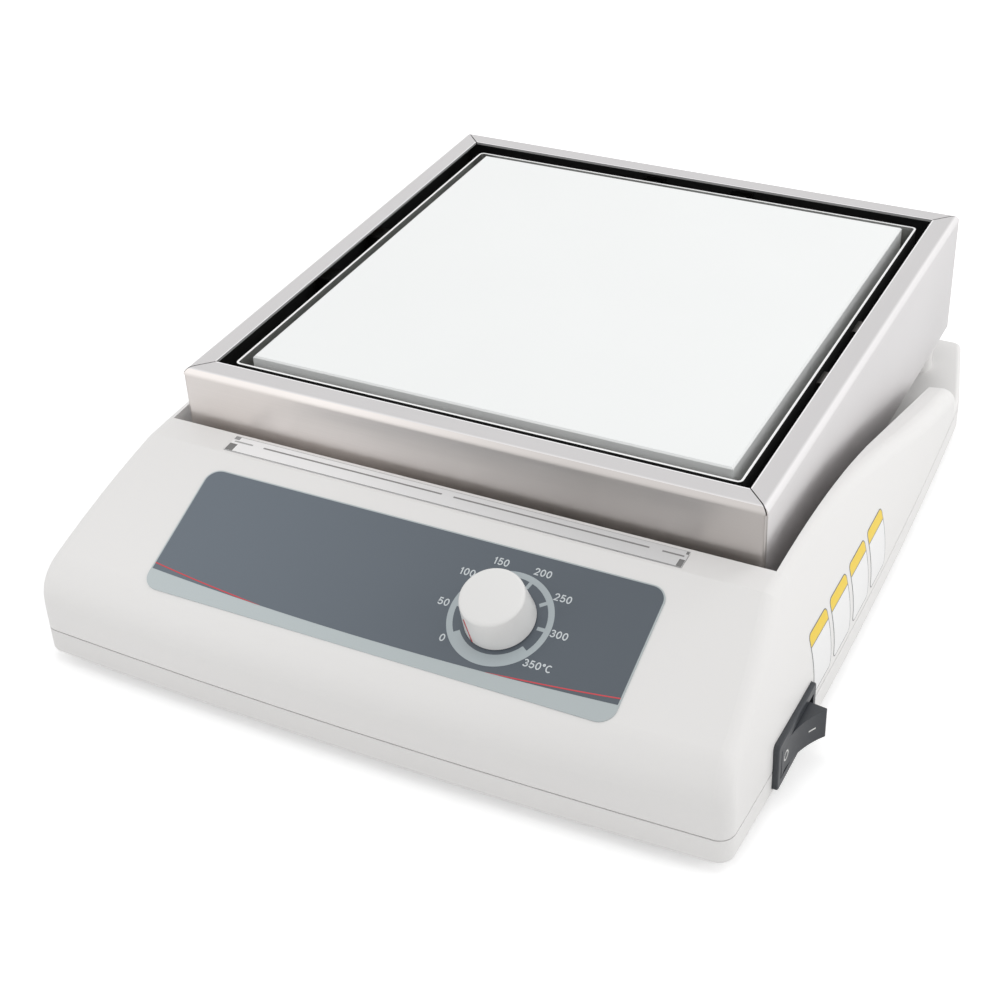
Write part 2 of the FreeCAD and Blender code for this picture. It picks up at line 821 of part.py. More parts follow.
def pan_brackets():
    # channel-shaped clips welded between the pan wall and the frame skirt
    reach = frame_half - frame_sheet
    top = -bracket_drop
    channel = box(pan_outer, reach, -bracket_width / 2, bracket_width / 2, top - bracket_leg, top)
    hollow = box(pan_outer + bracket_sheet, reach - bracket_sheet, -bracket_width, bracket_width,
                 top - bracket_leg - 1, top - bracket_sheet)
    channel = channel.cut(hollow)
    clips = []
    for i in range(4):
        for offset in (-bracket_offset, bracket_offset):
            clip = channel.copy()
            clip.translate(V(0, offset, 0))
            clip.rotate(V(0, 0, 0), V(0, 0, 1), 90 * i)
            clips.append(clip)
    return group(clips)


def insulation_block():
    half = pan_inner - insulation_gap
    top = clamp_bottom - insulation_drop
    block = rounded_slab(2 * half, 2 * half, pan_floor_top, top, pan_corner - pan_sheet)
    holes = posts_at(stud_places, spacer_radius + 2 * hole_clearance, pan_floor_top - 1, top + 1)
    holes.append(rod(sleeve_radius - sleeve_wall, pan_floor_top - 1, top + 1, 0, sleeve_y))
    pocket = clamp_bottom - cutout_can_height - cutout_base_height - cutout_gap
    holes.append(rod(cutout_radius + cutout_gap, pocket, top + 1, cutout_x, 0))
    return block.cut(group(holes))


def heating_plate():
    half = plate_side / 2
    plate = box(-half, half, -half, half, -plate_thickness, 0)
    plate = plate.makeChamfer(plate_chamfer, edges_where(plate, lambda b, c: abs(c.z) < near))
    floor = -plate_thickness
    cuts = posts_at(stud_places, stud_radius + thread_clearance, floor - 1, floor + stud_depth)
    cuts += posts_at(clamp_places, screw_radius + thread_clearance, floor - 1, floor + stud_depth)
    groove = bulb_groove / 2
    cuts.append(box(-groove, groove, -half - 1, bulb_tip_y + groove, floor - 1, floor + bulb_groove))
    return plate.cut(group(cuts))


def plate_spacers():
    return group([
        tube(spacer_radius, stud_radius + hole_clearance, pan_floor_top, -plate_thickness, x, y)
        for x, y in stud_places
    ])


def plate_studs():
    low = floor_top - frame_sheet - stud_nut_height - stud_end_gap
    return group(posts_at(stud_places, stud_radius, low, -plate_thickness + stud_depth - stud_end_gap))


def stud_nuts():
    top = floor_top - frame_sheet
    nuts = []
    for x, y in stud_places:
        nut = hexagon(stud_nut_flats, top - stud_nut_height, top, x, y)
        nuts.append(nut.cut(rod(stud_radius + thread_clearance, top - stud_nut_height - 1, top + 1, x, y)))
    return group(nuts)


def heating_element():
    # a sheathed rod laid out and back in four runs, with half-round bends
    z = element_z
    half = element_run / 2
    xs = [(i - 1.5) * element_pitch for i in range(4)]
    edges = [Part.LineSegment(V(xs[0], -half - element_tail, z), V(xs[0], half, z)).toShape()]
    side = 1
    for a, b in zip(xs, xs[1:]):
        tip = V((a + b) / 2, side * (half + element_pitch / 2), z)
        edges.append(Part.Arc(V(a, side * half, z), tip, V(b, side * half, z)).toShape())
        end = -side * half
        if b == xs[-1]:
            end -= element_tail
        edges.append(Part.LineSegment(V(b, side * half, z), V(b, end, z)).toShape())
        side = -side
    path = Part.Wire(edges)
    ring = Part.Wire(Part.makeCircle(element_radius, V(xs[0], -half - element_tail, z), V(0, 1, 0)))
    return path.makePipeShell([ring], True, False)


def clamp_plate():
    top = clamp_bottom + clamp_sheet
    sheet = rounded_slab(clamp_length, clamp_depth, clamp_bottom, top, clamp_corner)
    return sheet.cut(group(posts_at(clamp_places, screw_radius + hole_clearance, clamp_bottom - 1, top + 1)))


def clamp_screws():
    length = -plate_thickness + stud_depth - stud_end_gap - clamp_bottom
    return group([pan_head_screw(x, y, clamp_bottom, length, 1) for x, y in clamp_places])


def overheat_cutout():
    step = clamp_bottom - cutout_can_height
    can = rod(cutout_radius, step, clamp_bottom, cutout_x, 0)
    base = rod(cutout_radius - cutout_base_step, step - cutout_base_height, step, cutout_x, 0)
    return can.fuse(base).removeSplitter()


def sensor_bulb():
    # liquid-filled bulb in the plate's groove, with its fine tube down to the controller
    start_y = bulb_tip_y - bulb_length
    bulb = Part.makeCylinder(bulb_radius, bulb_length, V(0, start_y, bulb_z), V(0, 1, 0))
    bulb = bulb.makeFillet(bulb_radius / 2, edges_where(bulb, lambda b, c: b.YLength < near))
    low = tray_floor_top + capillary_lift
    bends = [
        V(0, start_y + 1, bulb_z),
        V(0, sleeve_y, bulb_z),
        V(0, sleeve_y, low),
        V(0, controller_foot.y, low),
        V(controller_foot.x, controller_foot.y, low),
        controller_foot,
    ]
    ring = Part.Wire(Part.makeCircle(capillary_radius, bends[0], V(0, 1, 0)))
    line = rounded_path(bends, capillary_bend).makePipeShell([ring], True, False)
    return bulb.fuse(line).removeSplitter()


def rounded_path(corners, radius):
    # straight runs between the corners, each joined to the next by a quarter bend
    edges = []
    here = corners[0]
    for before, corner, after in zip(corners, corners[1:], corners[2:]):
        back = (before - corner).normalize() * radius
        ahead = (after - corner).normalize() * radius
        middle = corner + (back + ahead) * (1 - math.sqrt(0.5))
        edges.append(Part.LineSegment(here, corner + back).toShape())
        edges.append(Part.Arc(corner + back, middle, corner + ahead).toShape())
        here = corner + ahead
    edges.append(Part.LineSegment(here, corners[-1]).toShape())
    return Part.Wire(edges)


def frame_posts():
    low = deck_z
    high = floor_top - frame_sheet
    posts = []
    for x, y in post_places:
        post = rod(post_radius, low, high, x, y)
        post = post.cut(rod(screw_radius + thread_clearance, low - 1, low + post_bore, x, y))
        posts.append(post.cut(rod(screw_radius + thread_clearance, high - post_bore, high + 1, x, y)))
    return group(posts)


def post_screws():
    screws = []
    for x, y in post_places:
        grip = post_bore - screw_end_gap
        screws.append(pan_head_screw(x, y, floor_top, frame_sheet + grip, -1))
        screws.append(pan_head_screw(x, y, deck_z - wall, wall + grip, 1))
    return group(screws)


def lead_sleeve():
    low = deck_z - wall - sleeve_end
    return tube(sleeve_radius, sleeve_radius - sleeve_wall, low, floor_top - frame_sheet, 0, sleeve_y)


def deck_grommet():
    outer = sleeve_radius + grommet_sheet
    ring = rod(outer, deck_z - wall, deck_z, 0, sleeve_y)
    top = rod(outer + grommet_flange, deck_z, deck_z + grommet_sheet, 0, sleeve_y)
    low = rod(outer + grommet_flange, deck_z - wall - grommet_sheet, deck_z - wall, 0, sleeve_y)
    bore = rod(sleeve_radius, deck_z - overrun, deck_z + overrun, 0, sleeve_y)
    return fused(ring, [top, low]).cut(bore)


# Control panel, dial and knob

def panel_overlay():
    y = -overlay_height / 2 - overlay_start + dial_from_strip
    sheet = rounded_slab(overlay_length, overlay_height, 0, overlay_thickness, overlay_corner, -dial_x, y)
    return on_panel(sheet.cut(rod(nut_flats / math.sqrt(3) + 2 * fit_clearance, -1, 1)))


def temperature_controller():
    back = -wall - controller_height
    body = rounded_slab(controller_width, controller_depth, back, -wall, controller_corner)
    cover = rounded_slab(
        controller_width - 2 * cover_step, controller_depth - 2 * cover_step,
        back - cover_height, back, controller_corner)
    body = fused(body, [cover, rod(bush_radius, -wall - 1, bush_height)])
    body = on_panel(body.cut(rod(shaft_radius + running_clearance, -wall - shaft_socket, overrun)))
    foot = controller_foot
    return body.cut(rod(capillary_radius + thread_clearance, tray_floor_top, foot.z, foot.x, foot.y))


def controller_nut():
    nut = hexagon(nut_flats, 0, nut_height)
    return on_panel(nut.cut(rod(bush_radius + thread_clearance, -1, overrun)))


def controller_shaft():
    shaft = rod(shaft_radius, -wall - shaft_socket + seat_gap, shaft_length)
    flat = box(shaft_flat, overrun, -overrun, overrun, bush_height + knob_hub_gap, 2 * overrun)
    return on_panel(shaft.cut(flat))


def knob_profile():
    # half section of the knob: tapered skirt, domed rim, hollow underside with a boss
    top = knob_lift + knob_height
    run = (knob_base_radius - knob_cap_radius) / knob_height
    wall_in = knob_base_radius - knob_wall
    ceiling = top - knob_top
    boss_low = bush_height + knob_hub_gap
    points = [
        (shaft_radius + knob_fit, boss_low),
        (knob_boss_radius, boss_low),
        (knob_boss_radius, ceiling),
        (wall_in - run * (ceiling - knob_lift), ceiling),
        (wall_in, knob_lift),
        (knob_base_radius, knob_lift),
        (knob_cap_radius, top),
        (0, top),
        (0, shaft_length + knob_end_gap),
        (shaft_radius + knob_fit, shaft_length + knob_end_gap),
    ]
    corners = [V(x, 0, z) for x, z in points]
    return Part.Face(Part.makePolygon(corners + corners[:1]))


def control_knob():
    knob = knob_profile().revolve(V(0, 0, 0), V(0, 0, 1), 360)
    top = knob_lift + knob_height
    rim = edges_where(knob, lambda b, c: abs(b.ZMin - top) < near and b.XLength > knob_cap_radius)
    knob = knob.makeFillet(knob_cap_round, rim)
    key_face = shaft_flat + thread_clearance
    key = box(key_face, knob_boss_radius, -knob_key, knob_key, bush_height + knob_hub_gap, shaft_length)
    key = key.common(rod((shaft_radius + knob_boss_radius) / 2, 0, top))
    return on_panel(knob.fuse(key).removeSplitter())


# Light bar

def light_window():
    window = light_prism(light_half, light_y0, light_y1, light_recess, wall)
    flange_drop = wall + light_flange_sheet
    flange = light_prism(light_half + light_flange, light_y0 - light_flange, light_y1, wall, flange_drop)
    return fused(window, [flange])


def light_guide():
    y0 = light_mid - guide_width / 2
    low = guide_top - guide_height
    half = light_half - guide_end_gap
    return box(-half, half, y0, y0 + guide_width, low, guide_top)


def indicator_lamps():
    lamps = []
    low = lamp_base
    for i in (-1, 0, 1):
        lamp = rod(lamp_radius, low, low + lamp_height, i * lamp_pitch, light_mid)
        rim = edges_where(lamp, lambda b, c: abs(b.ZMin - low - lamp_height) < near)
        lamps.append(lamp.makeFillet(lamp_radius - hole_clearance, rim))
    return group(lamps)


def lamp_board():
    half = board_boss_x + lamp_boss_radius + board_overhang
    y1 = well_front - wall - fit_clearance
    y0 = board_boss_y - lamp_boss_radius
    board = box(-half, half, y0, y1, lamp_base - board_thickness, lamp_base)
    places = [(sx * board_boss_x, board_boss_y) for sx in (-1, 1)]
    low = lamp_base - board_thickness - 1
    return board.cut(group(posts_at(places, board_screw_radius + hole_clearance, low, lamp_base + 1)))


def board_screws():
    screws = []
    low = lamp_base - board_thickness
    for sx in (-1, 1):
        head = rod(board_head_radius, low - board_head_height, low, sx * board_boss_x, board_boss_y)
        shank = rod(board_screw_radius, low, low + board_screw_length, sx * board_boss_x, board_boss_y)
        screws.append(head.fuse(shank).removeSplitter())
    return group(screws)


# Rocker switch

def in_switch(shape):
    # from a local frame with X outwards from the pivot, Y along the bezel, Z up
    placed = shape.copy()
    placed.translate(V(pivot_x, switch_y, switch_z))
    return placed


def switch_body():
    face_x = switch_x + bezel_thickness
    bezel = switch_block(bezel_length, bezel_width, switch_x, face_x, bezel_corner)
    bezel = bezel.makeFillet(bezel_round, edges_where(bezel, lambda b, c: abs(c.x - face_x) < near))
    back = switch_x - switch_body_depth
    body = switch_block(switch_body_length, switch_body_width, back, switch_x, switch_body_corner)
    body = fused(bezel, [body])
    cavity_length = switch_body_length - 2 * switch_wall
    cavity_width = switch_body_width - 2 * switch_wall
    floor = pivot_x - rocker_foot - cavity_depth_gap
    body = body.cut(switch_block(cavity_length, cavity_width, floor, face_x + 1, switch_body_corner))
    bore = rocker_width / 2 + trunnion_length + fit_clearance
    return body.cut(in_switch(rod(trunnion_radius + running_clearance, -bore, bore)))


def switch_rocker():
    # seen from above: a shallow arc across the front, flanks that clear the bezel as it rocks
    a = rocker_half_length
    face = [V(-a, rocker_rise, 0), V(0, rocker_rise - rocker_dip, 0), V(a, rocker_rise, 0)]
    flank = a - rocker_flank
    low = [V(flank, -rocker_flank_drop, 0), V(rocker_heel, -rocker_foot, 0)]
    low += [V(-p.x, p.y, 0) for p in reversed(low)]
    edges = [Part.Arc(*face).toShape()]
    chain = [face[2]] + low + [face[0]]
    edges += [Part.LineSegment(p, q).toShape() for p, q in zip(chain, chain[1:])]
    rocker = Part.Face(Part.Wire(edges)).extrude(V(0, 0, rocker_width))
    rocker.translate(V(0, 0, -rocker_width / 2))
    tips = edges_where(rocker, lambda b, c: b.ZLength > rocker_width / 2 and c.y > rocker_rise - near)
    rocker = rocker.makeFillet(rocker_round, tips)
    pin = rod(trunnion_radius, -rocker_width / 2 - trunnion_length, rocker_width / 2 + trunnion_length)
    rocker = fused(rocker, [pin])
    # local Y points outwards so far: turn it to +X, then press the front end in
    rocker.rotate(V(0, 0, 0), V(0, 0, 1), -90)
    rocker.rotate(V(0, 0, 0), V(0, 0, 1), -rocker_tilt_deg)
    return in_switch(rocker)


def switch_terminals():
    back = switch_x - switch_body_depth
    tabs = []
    for i in (-1, 0, 1):
        y = switch_y + i * terminal_pitch
        t = terminal_thickness / 2
        w = terminal_width / 2
        tabs.append(box(back - terminal_length, back, y - t, y + t, switch_z - w, switch_z + w))
    return group(tabs)


# Power inlet

def power_inlet():
    flange = inlet_block(
        inlet_flange_length, inlet_flange_height, -inlet_flange_thickness, 0, inlet_flange_corner)
    body = inlet_block(inlet_body_length, inlet_body_height, 0, inlet_body_depth, inlet_body_corner)
    socket = inlet_block(
        inlet_body_length - 2 * inlet_wall, inlet_body_height - 2 * inlet_wall,
        -inlet_flange_thickness - 1, socket_depth - inlet_flange_thickness, socket_corner)
    body = fused(flange, [body]).cut(socket)
    return body.cut(inlet_pins())


def inlet_pins():
    floor_x = inlet_x - inlet_flange_thickness + socket_depth
    back = inlet_x + inlet_body_depth + terminal_length
    t = pin_thickness / 2
    w = pin_width / 2
    pins = []
    for dy, dz in ((-pin_pitch, 0.0), (pin_pitch, 0.0), (0.0, earth_offset)):
        y = inlet_y + dy
        z = inlet_z + dz
        pins.append(box(floor_x - pin_length, back, y - t, y + t, z - w, z + w))
    return group(pins)


def block_screw_places():
    return [
        (block_x + i * block_screw_pitch, block_y + side * block_row_offset)
        for i in (-1, 0, 1) for side in (-1, 1)
    ]


def terminal_block():
    top = tray_floor_top + block_height
    half = block_length / 2
    base = box(block_x - half, block_x + half, block_y - block_depth / 2, block_y + block_depth / 2,
               tray_floor_top, top)
    base = base.makeChamfer(block_chamfer, edges_where(base, lambda b, c: c.z > top - near))
    radius = block_screw_radius + thread_clearance
    low = top - block_screw_length - 2 * screw_end_gap
    return base.cut(group(posts_at(block_screw_places(), radius, low, top + 1)))


def block_screws():
    top = tray_floor_top + block_height - screw_end_gap
    return group(posts_at(block_screw_places(), block_screw_radius, top - block_screw_length, top))


makers = [
    upper_housing, lower_tray, housing_screws, rubber_feet, foot_screws,
    heater_frame, frame_floor, liner_pan, pan_brackets, insulation_block,
    heating_plate, plate_spacers, plate_studs, stud_nuts,
    heating_element, clamp_plate, clamp_screws, overheat_cutout, sensor_bulb,
    frame_posts, post_screws, lead_sleeve, deck_grommet,
    panel_overlay, temperature_controller, controller_nut, controller_shaft, control_knob,
    light_window, light_guide, indicator_lamps, lamp_board, board_screws,
    switch_body, switch_rocker, switch_terminals,
    power_inlet, inlet_pins, terminal_block, block_screws,
]

os.makedirs("parts", exist_ok=True)
for maker in makers:
    shape = maker()
    print(maker.__name__, len(shape.Solids), "solids", round(shape.Volume / 1000, 2), "cm3", shape.isValid())
    shape.exportStep("parts/" + maker.__name__ + ".step")
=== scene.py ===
import math

import bpy
from mathutils import Matrix, Vector


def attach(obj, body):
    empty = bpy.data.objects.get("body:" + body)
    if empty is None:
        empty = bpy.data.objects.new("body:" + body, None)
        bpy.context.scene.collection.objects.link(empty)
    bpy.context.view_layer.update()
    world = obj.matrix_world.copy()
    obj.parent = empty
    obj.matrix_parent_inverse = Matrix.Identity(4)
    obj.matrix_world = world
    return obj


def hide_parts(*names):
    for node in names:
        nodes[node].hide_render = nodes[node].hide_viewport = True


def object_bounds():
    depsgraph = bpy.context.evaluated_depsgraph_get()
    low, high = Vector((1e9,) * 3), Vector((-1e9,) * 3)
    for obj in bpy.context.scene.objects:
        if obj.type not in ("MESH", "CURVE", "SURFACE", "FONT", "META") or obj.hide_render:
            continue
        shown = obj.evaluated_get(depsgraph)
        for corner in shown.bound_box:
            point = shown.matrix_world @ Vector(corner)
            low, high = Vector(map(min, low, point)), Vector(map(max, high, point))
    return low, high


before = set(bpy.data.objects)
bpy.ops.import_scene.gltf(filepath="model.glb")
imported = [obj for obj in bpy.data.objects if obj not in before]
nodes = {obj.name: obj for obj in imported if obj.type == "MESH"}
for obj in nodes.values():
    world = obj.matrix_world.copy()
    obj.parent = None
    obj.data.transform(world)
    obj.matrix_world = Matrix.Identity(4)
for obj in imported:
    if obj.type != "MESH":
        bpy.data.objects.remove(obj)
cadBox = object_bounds()
mm = 0.001  # every size below is in millimetres


# Small helpers for modelling by hand

def deselectAll():
    if bpy.context.object and bpy.context.object.mode != "OBJECT":
        bpy.ops.object.mode_set(mode="OBJECT")
    bpy.ops.object.select_all(action="DESELECT")


def pick(piece):
    deselectAll()
    piece.select_set(True)
    bpy.context.view_layer.objects.active = piece


def applyPlace(piece):
    pick(piece)
    bpy.ops.object.transform_apply(location=True, rotation=True, scale=True)


def addModifier(piece, kind, **values):
    modifier = piece.modifiers.new(kind.title(), kind)
    for key, value in values.items():
        setattr(modifier, key, value)
    pick(piece)
    bpy.ops.object.modifier_apply(modifier=modifier.name)


def tidyMesh(piece):
    # merge doubles and turn every face outwards
    pick(piece)
    bpy.ops.object.mode_set(mode="EDIT")
    bpy.ops.mesh.select_all(action="SELECT")
    bpy.ops.mesh.remove_doubles(threshold=0.001 * mm)
    bpy.ops.mesh.normals_make_consistent(inside=False)
    bpy.ops.object.mode_set(mode="OBJECT")


def selectFaces(piece, test):
    # faces are chosen by their middle point and their normal, then edit mode starts
    pick(piece)
    bpy.ops.object.mode_set(mode="EDIT")
    bpy.ops.mesh.select_mode(type="FACE")
    bpy.ops.mesh.select_all(action="DESELECT")
    bpy.ops.object.mode_set(mode="OBJECT")
    for face in piece.data.polygons:
        face.select = test(face.center, face.normal)
    bpy.ops.object.mode_set(mode="EDIT")


def selectEdges(piece, test):
    # edges are chosen by their two ends, then edit mode starts
    pick(piece)
    bpy.ops.object.mode_set(mode="EDIT")
    bpy.ops.mesh.select_mode(type="EDGE")
    bpy.ops.mesh.select_all(action="DESELECT")
    bpy.ops.object.mode_set(mode="OBJECT")
    points = piece.data.vertices
    for edge in piece.data.edges:
        first, second = (points[i].co for i in edge.vertices)
        edge.select = test(first, second)
    bpy.ops.object.mode_set(mode="EDIT")


def facesUp(centre, normal):
    return normal.z > 0.999


def facesDown(centre, normal):
    return normal.z < -0.999


def standsUpright(first, second):
    return abs(first.z - second.z) > 1


def liesAt(height):
    return lambda first, second: min(first.z, second.z) > height - 0.01


def bevelEdges(piece, test, offset, steps):
    selectEdges(piece, test)
    bpy.ops.mesh.bevel(offset=offset, segments=steps, profile=0.5)


def blockBetween(low, high):
    # a cube stretched between two corners, in millimetres until its place is applied
    deselectAll()
    bpy.ops.mesh.primitive_cube_add(size=1)
    block = bpy.context.object
    block.scale = [b - a for a, b in zip(low, high)]
    block.location = [(a + b) / 2 for a, b in zip(low, high)]
    applyPlace(block)
    return block


def centredBlock(width, depth, height):
    return blockBetween((-width / 2, -depth / 2, -height / 2), (width / 2, depth / 2, height / 2))


def copyOf(piece):
    twin = piece.copy()
    twin.data = piece.data.copy()
    bpy.context.collection.objects.link(twin)
    return twin


def smoothSides(piece, degrees):
    pick(piece)
    bpy.ops.object.shade_smooth_by_angle(angle=math.radians(degrees))


def finishPiece(piece, name, material, body):
    applyPlace(piece)
    piece.name = name
    piece.data.name = name
    piece.data.materials.clear()
    piece.data.materials.append(material)
    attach(piece, body)


# Camera at the photograph's viewing angle

cameraSettings = {
    "azimuth": 28.53,
    "elevation": 34.873,
    "roll": -2.98,
    "distance": 573.9,
    "target": (30.8, -135.5, 0.7),
    "lens": 66.84,
    "sensor": 36,
    "nearest": 0.01,
}


def setCamera():
    azimuth = math.radians(cameraSettings["azimuth"])
    elevation = math.radians(cameraSettings["elevation"])
    roll = math.radians(cameraSettings["roll"])
    back = Vector((
        math.sin(azimuth) * math.cos(elevation),
        -math.cos(azimuth) * math.cos(elevation),
        math.sin(elevation),
    ))
    level = Vector((math.cos(azimuth), math.sin(azimuth), 0))
    upright = back.cross(level)
    right = level * math.cos(roll) + upright * math.sin(roll)
    up = upright * math.cos(roll) - level * math.sin(roll)
    place = Vector(cameraSettings["target"]) * mm + back * cameraSettings["distance"] * mm
    bpy.ops.object.camera_add(location=place)
    camera = bpy.context.object
    camera.name = "photoCamera"
    camera.rotation_euler = Matrix((right, up, back)).transposed().to_euler()
    camera.data.lens = cameraSettings["lens"]
    camera.data.sensor_width = cameraSettings["sensor"]
    camera.data.clip_start = cameraSettings["nearest"]
    bpy.context.scene.camera = camera


# Small helpers for node trees

def groupWith(name, inputs, outputs):
    group = bpy.data.node_groups.new(name, "ShaderNodeTree")
    for label, value in inputs.items():
        socket = group.interface.new_socket(label, in_out="INPUT", socket_type="NodeSocketFloat")
        socket.default_value = value
    for label, kind in outputs.items():
        group.interface.new_socket(label, in_out="OUTPUT", socket_type="NodeSocket" + kind)
    return group, group.nodes.new("NodeGroupInput"), group.nodes.new("NodeGroupOutput")


def feed(tree, socket, value):
    # a colour or a number is set, and the output of another node is linked
    if isinstance(value, tuple):
        socket.default_value = (*value, 1)
    elif isinstance(value, (int, float)):
        socket.default_value = value
    else:
        tree.links.new(value, socket)


def mathNode(tree, operation, *values):
    node = tree.nodes.new("ShaderNodeMath")
    node.operation = operation
    for socket, value in zip(node.inputs, values):
        feed(tree, socket, value)
    return node.outputs[0]


def objectPlace(tree):
    # the place on the object, whole and split into X, Y and Z
    place = tree.nodes.new("ShaderNodeTexCoord").outputs["Object"]
    split = tree.nodes.new("ShaderNodeSeparateXYZ")
    tree.links.new(place, split.inputs[0])
    return place, split.outputs


def noiseNode(tree, place, scale, detail):
    node = tree.nodes.new("ShaderNodeTexNoise")
    node.inputs["Detail"].default_value = detail
    tree.links.new(place, node.inputs["Vector"])
    feed(tree, node.inputs["Scale"], scale)
    return node.outputs["Fac"]


def mixColour(tree, blend, factor, first, second):
    mix = tree.nodes.new("ShaderNodeMix")
    mix.data_type = "RGBA"
    mix.blend_type = blend
    # a mix node keeps the sockets of every data type: 0, 6 and 7 in, and 2 out, are for colours
    for index, value in ((0, factor), (6, first), (7, second)):
        feed(tree, mix.inputs[index], value)
    return mix.outputs[2]


# Plain pale floor and soft studio light

studio = {
    "floorSize": 12000,
    "floorTone": 0.88,
    "floorRoughness": 0.9,
    "floorShine": 0.1,
    "floorGlow": 0.34,
    "worldLight": 0.76,
    "lampAim": (0, -30, -30),
    "lamps": {
        "topSoftbox": ((-60, -120, 1400), 420, 2.2),
        "rightSoftbox": ((1000, 100, 330), 600, 1.5),
        "rearSoftbox": ((600, 900, 620), 600, 2.8),
        "leftFill": ((-700, -850, 420), 700, 1.0),
    },
}


def setStudio():
    bpy.ops.mesh.primitive_plane_add(size=studio["floorSize"] * mm, location=(0, 0, cadBox[0][2]))
    floor = bpy.context.object
    floor.name = "studioFloor"
    applyPlace(floor)
    material = bpy.data.materials.new("floorPaper")
    material.use_nodes = True
    tree = material.node_tree
    shader = tree.nodes["Principled BSDF"]
    tone = studio["floorTone"]
    shader.inputs["Base Color"].default_value = (tone, tone, tone, 1)
    shader.inputs["Roughness"].default_value = studio["floorRoughness"]
    shader.inputs["Specular IOR Level"].default_value = studio["floorShine"]
    shader.inputs["Emission Color"].default_value = (1, 1, 1, 1)
    rays = tree.nodes.new("ShaderNodeLightPath").outputs
    glow = mathNode(tree, "MULTIPLY", rays["Is Camera Ray"], studio["floorGlow"])
    tree.links.new(glow, shader.inputs["Emission Strength"])
    floor.data.materials.append(material)

    world = bpy.data.worlds.new("studioWorld")
    bpy.context.scene.world = world
    world.use_nodes = True
    tree = world.node_tree
    background = tree.nodes["Background"]
    background.inputs["Color"].default_value = (1, 1, 1, 1)
    # pure white where the room is seen or mirrored, and dimmer as a light
    rays = tree.nodes.new("ShaderNodeLightPath").outputs
    seen = mathNode(tree, "MAXIMUM", rays["Is Camera Ray"], rays["Is Glossy Ray"])
    seen = mathNode(tree, "MAXIMUM", seen, rays["Is Transmission Ray"])
    strength = tree.nodes.new("ShaderNodeMapRange")
    strength.inputs["To Min"].default_value = studio["worldLight"]
    strength.inputs["To Max"].default_value = 1.0
    tree.links.new(seen, strength.inputs["Value"])
    tree.links.new(strength.outputs["Result"], background.inputs["Strength"])

    for name, (place, size, power) in studio["lamps"].items():
        location = Vector(place) * mm
        bpy.ops.object.light_add(type="AREA", location=location)
        lamp = bpy.context.object
        lamp.name = name
        lamp.data.shape = "DISK"
        lamp.data.size = size * mm
        lamp.data.energy = power
        lamp.visible_glossy = False  # the metal mirrors the white room, not the lamps
        aim = location - Vector(studio["lampAim"]) * mm
        lamp.rotation_euler = aim.to_track_quat("Z", "Y").to_euler()
    bpy.context.scene.view_settings.view_transform = "Standard"


# Material node groups

moulding = {"fineShine": 0.12, "slowShine": 0.1, "bump": 0.35}


def mouldedGrain():
    # fine spark-eroded texture of moulded plastic, with a slow drift in tone
    group, given, result = groupWith(
        "mouldedGrain",
        {"Grain size": 0.25, "Depth": 0.02, "Roughness": 0.45, "Tone drift": 0.02},
        {"Tone": "Float", "Roughness": "Float", "Normal": "Vector"},
    )
    place = group.nodes.new("ShaderNodeTexCoord").outputs["Object"]
    size = mathNode(group, "DIVIDE", 1 / mm, given.outputs["Grain size"])
    grain = noiseNode(group, place, scale=size, detail=4)
    drift = mathNode(group, "SUBTRACT", noiseNode(group, place, scale=18, detail=2), 0.5)
    change = mathNode(group, "MULTIPLY", drift, given.outputs["Tone drift"])
    group.links.new(mathNode(group, "ADD", change, 1.0), result.inputs["Tone"])
    centred = mathNode(group, "SUBTRACT", grain, 0.5)
    fine = mathNode(group, "MULTIPLY", centred, moulding["fineShine"])
    slow = mathNode(group, "MULTIPLY", drift, moulding["slowShine"])
    rough = mathNode(group, "ADD", given.outputs["Roughness"], mathNode(group, "ADD", fine, slow))
    group.links.new(rough, result.inputs["Roughness"])
    bump = group.nodes.new("ShaderNodeBump")
    bump.inputs["Strength"].default_value = moulding["bump"]
    depth = mathNode(group, "MULTIPLY", given.outputs["Depth"], mm)
    group.links.new(depth, bump.inputs["Distance"])
    group.links.new(grain, bump.inputs["Height"])
    group.links.new(bump.outputs["Normal"], result.inputs["Normal"])
    return group


brushing = {"along": 6, "across": 900, "roughness": 0.3, "depth": 0.02}


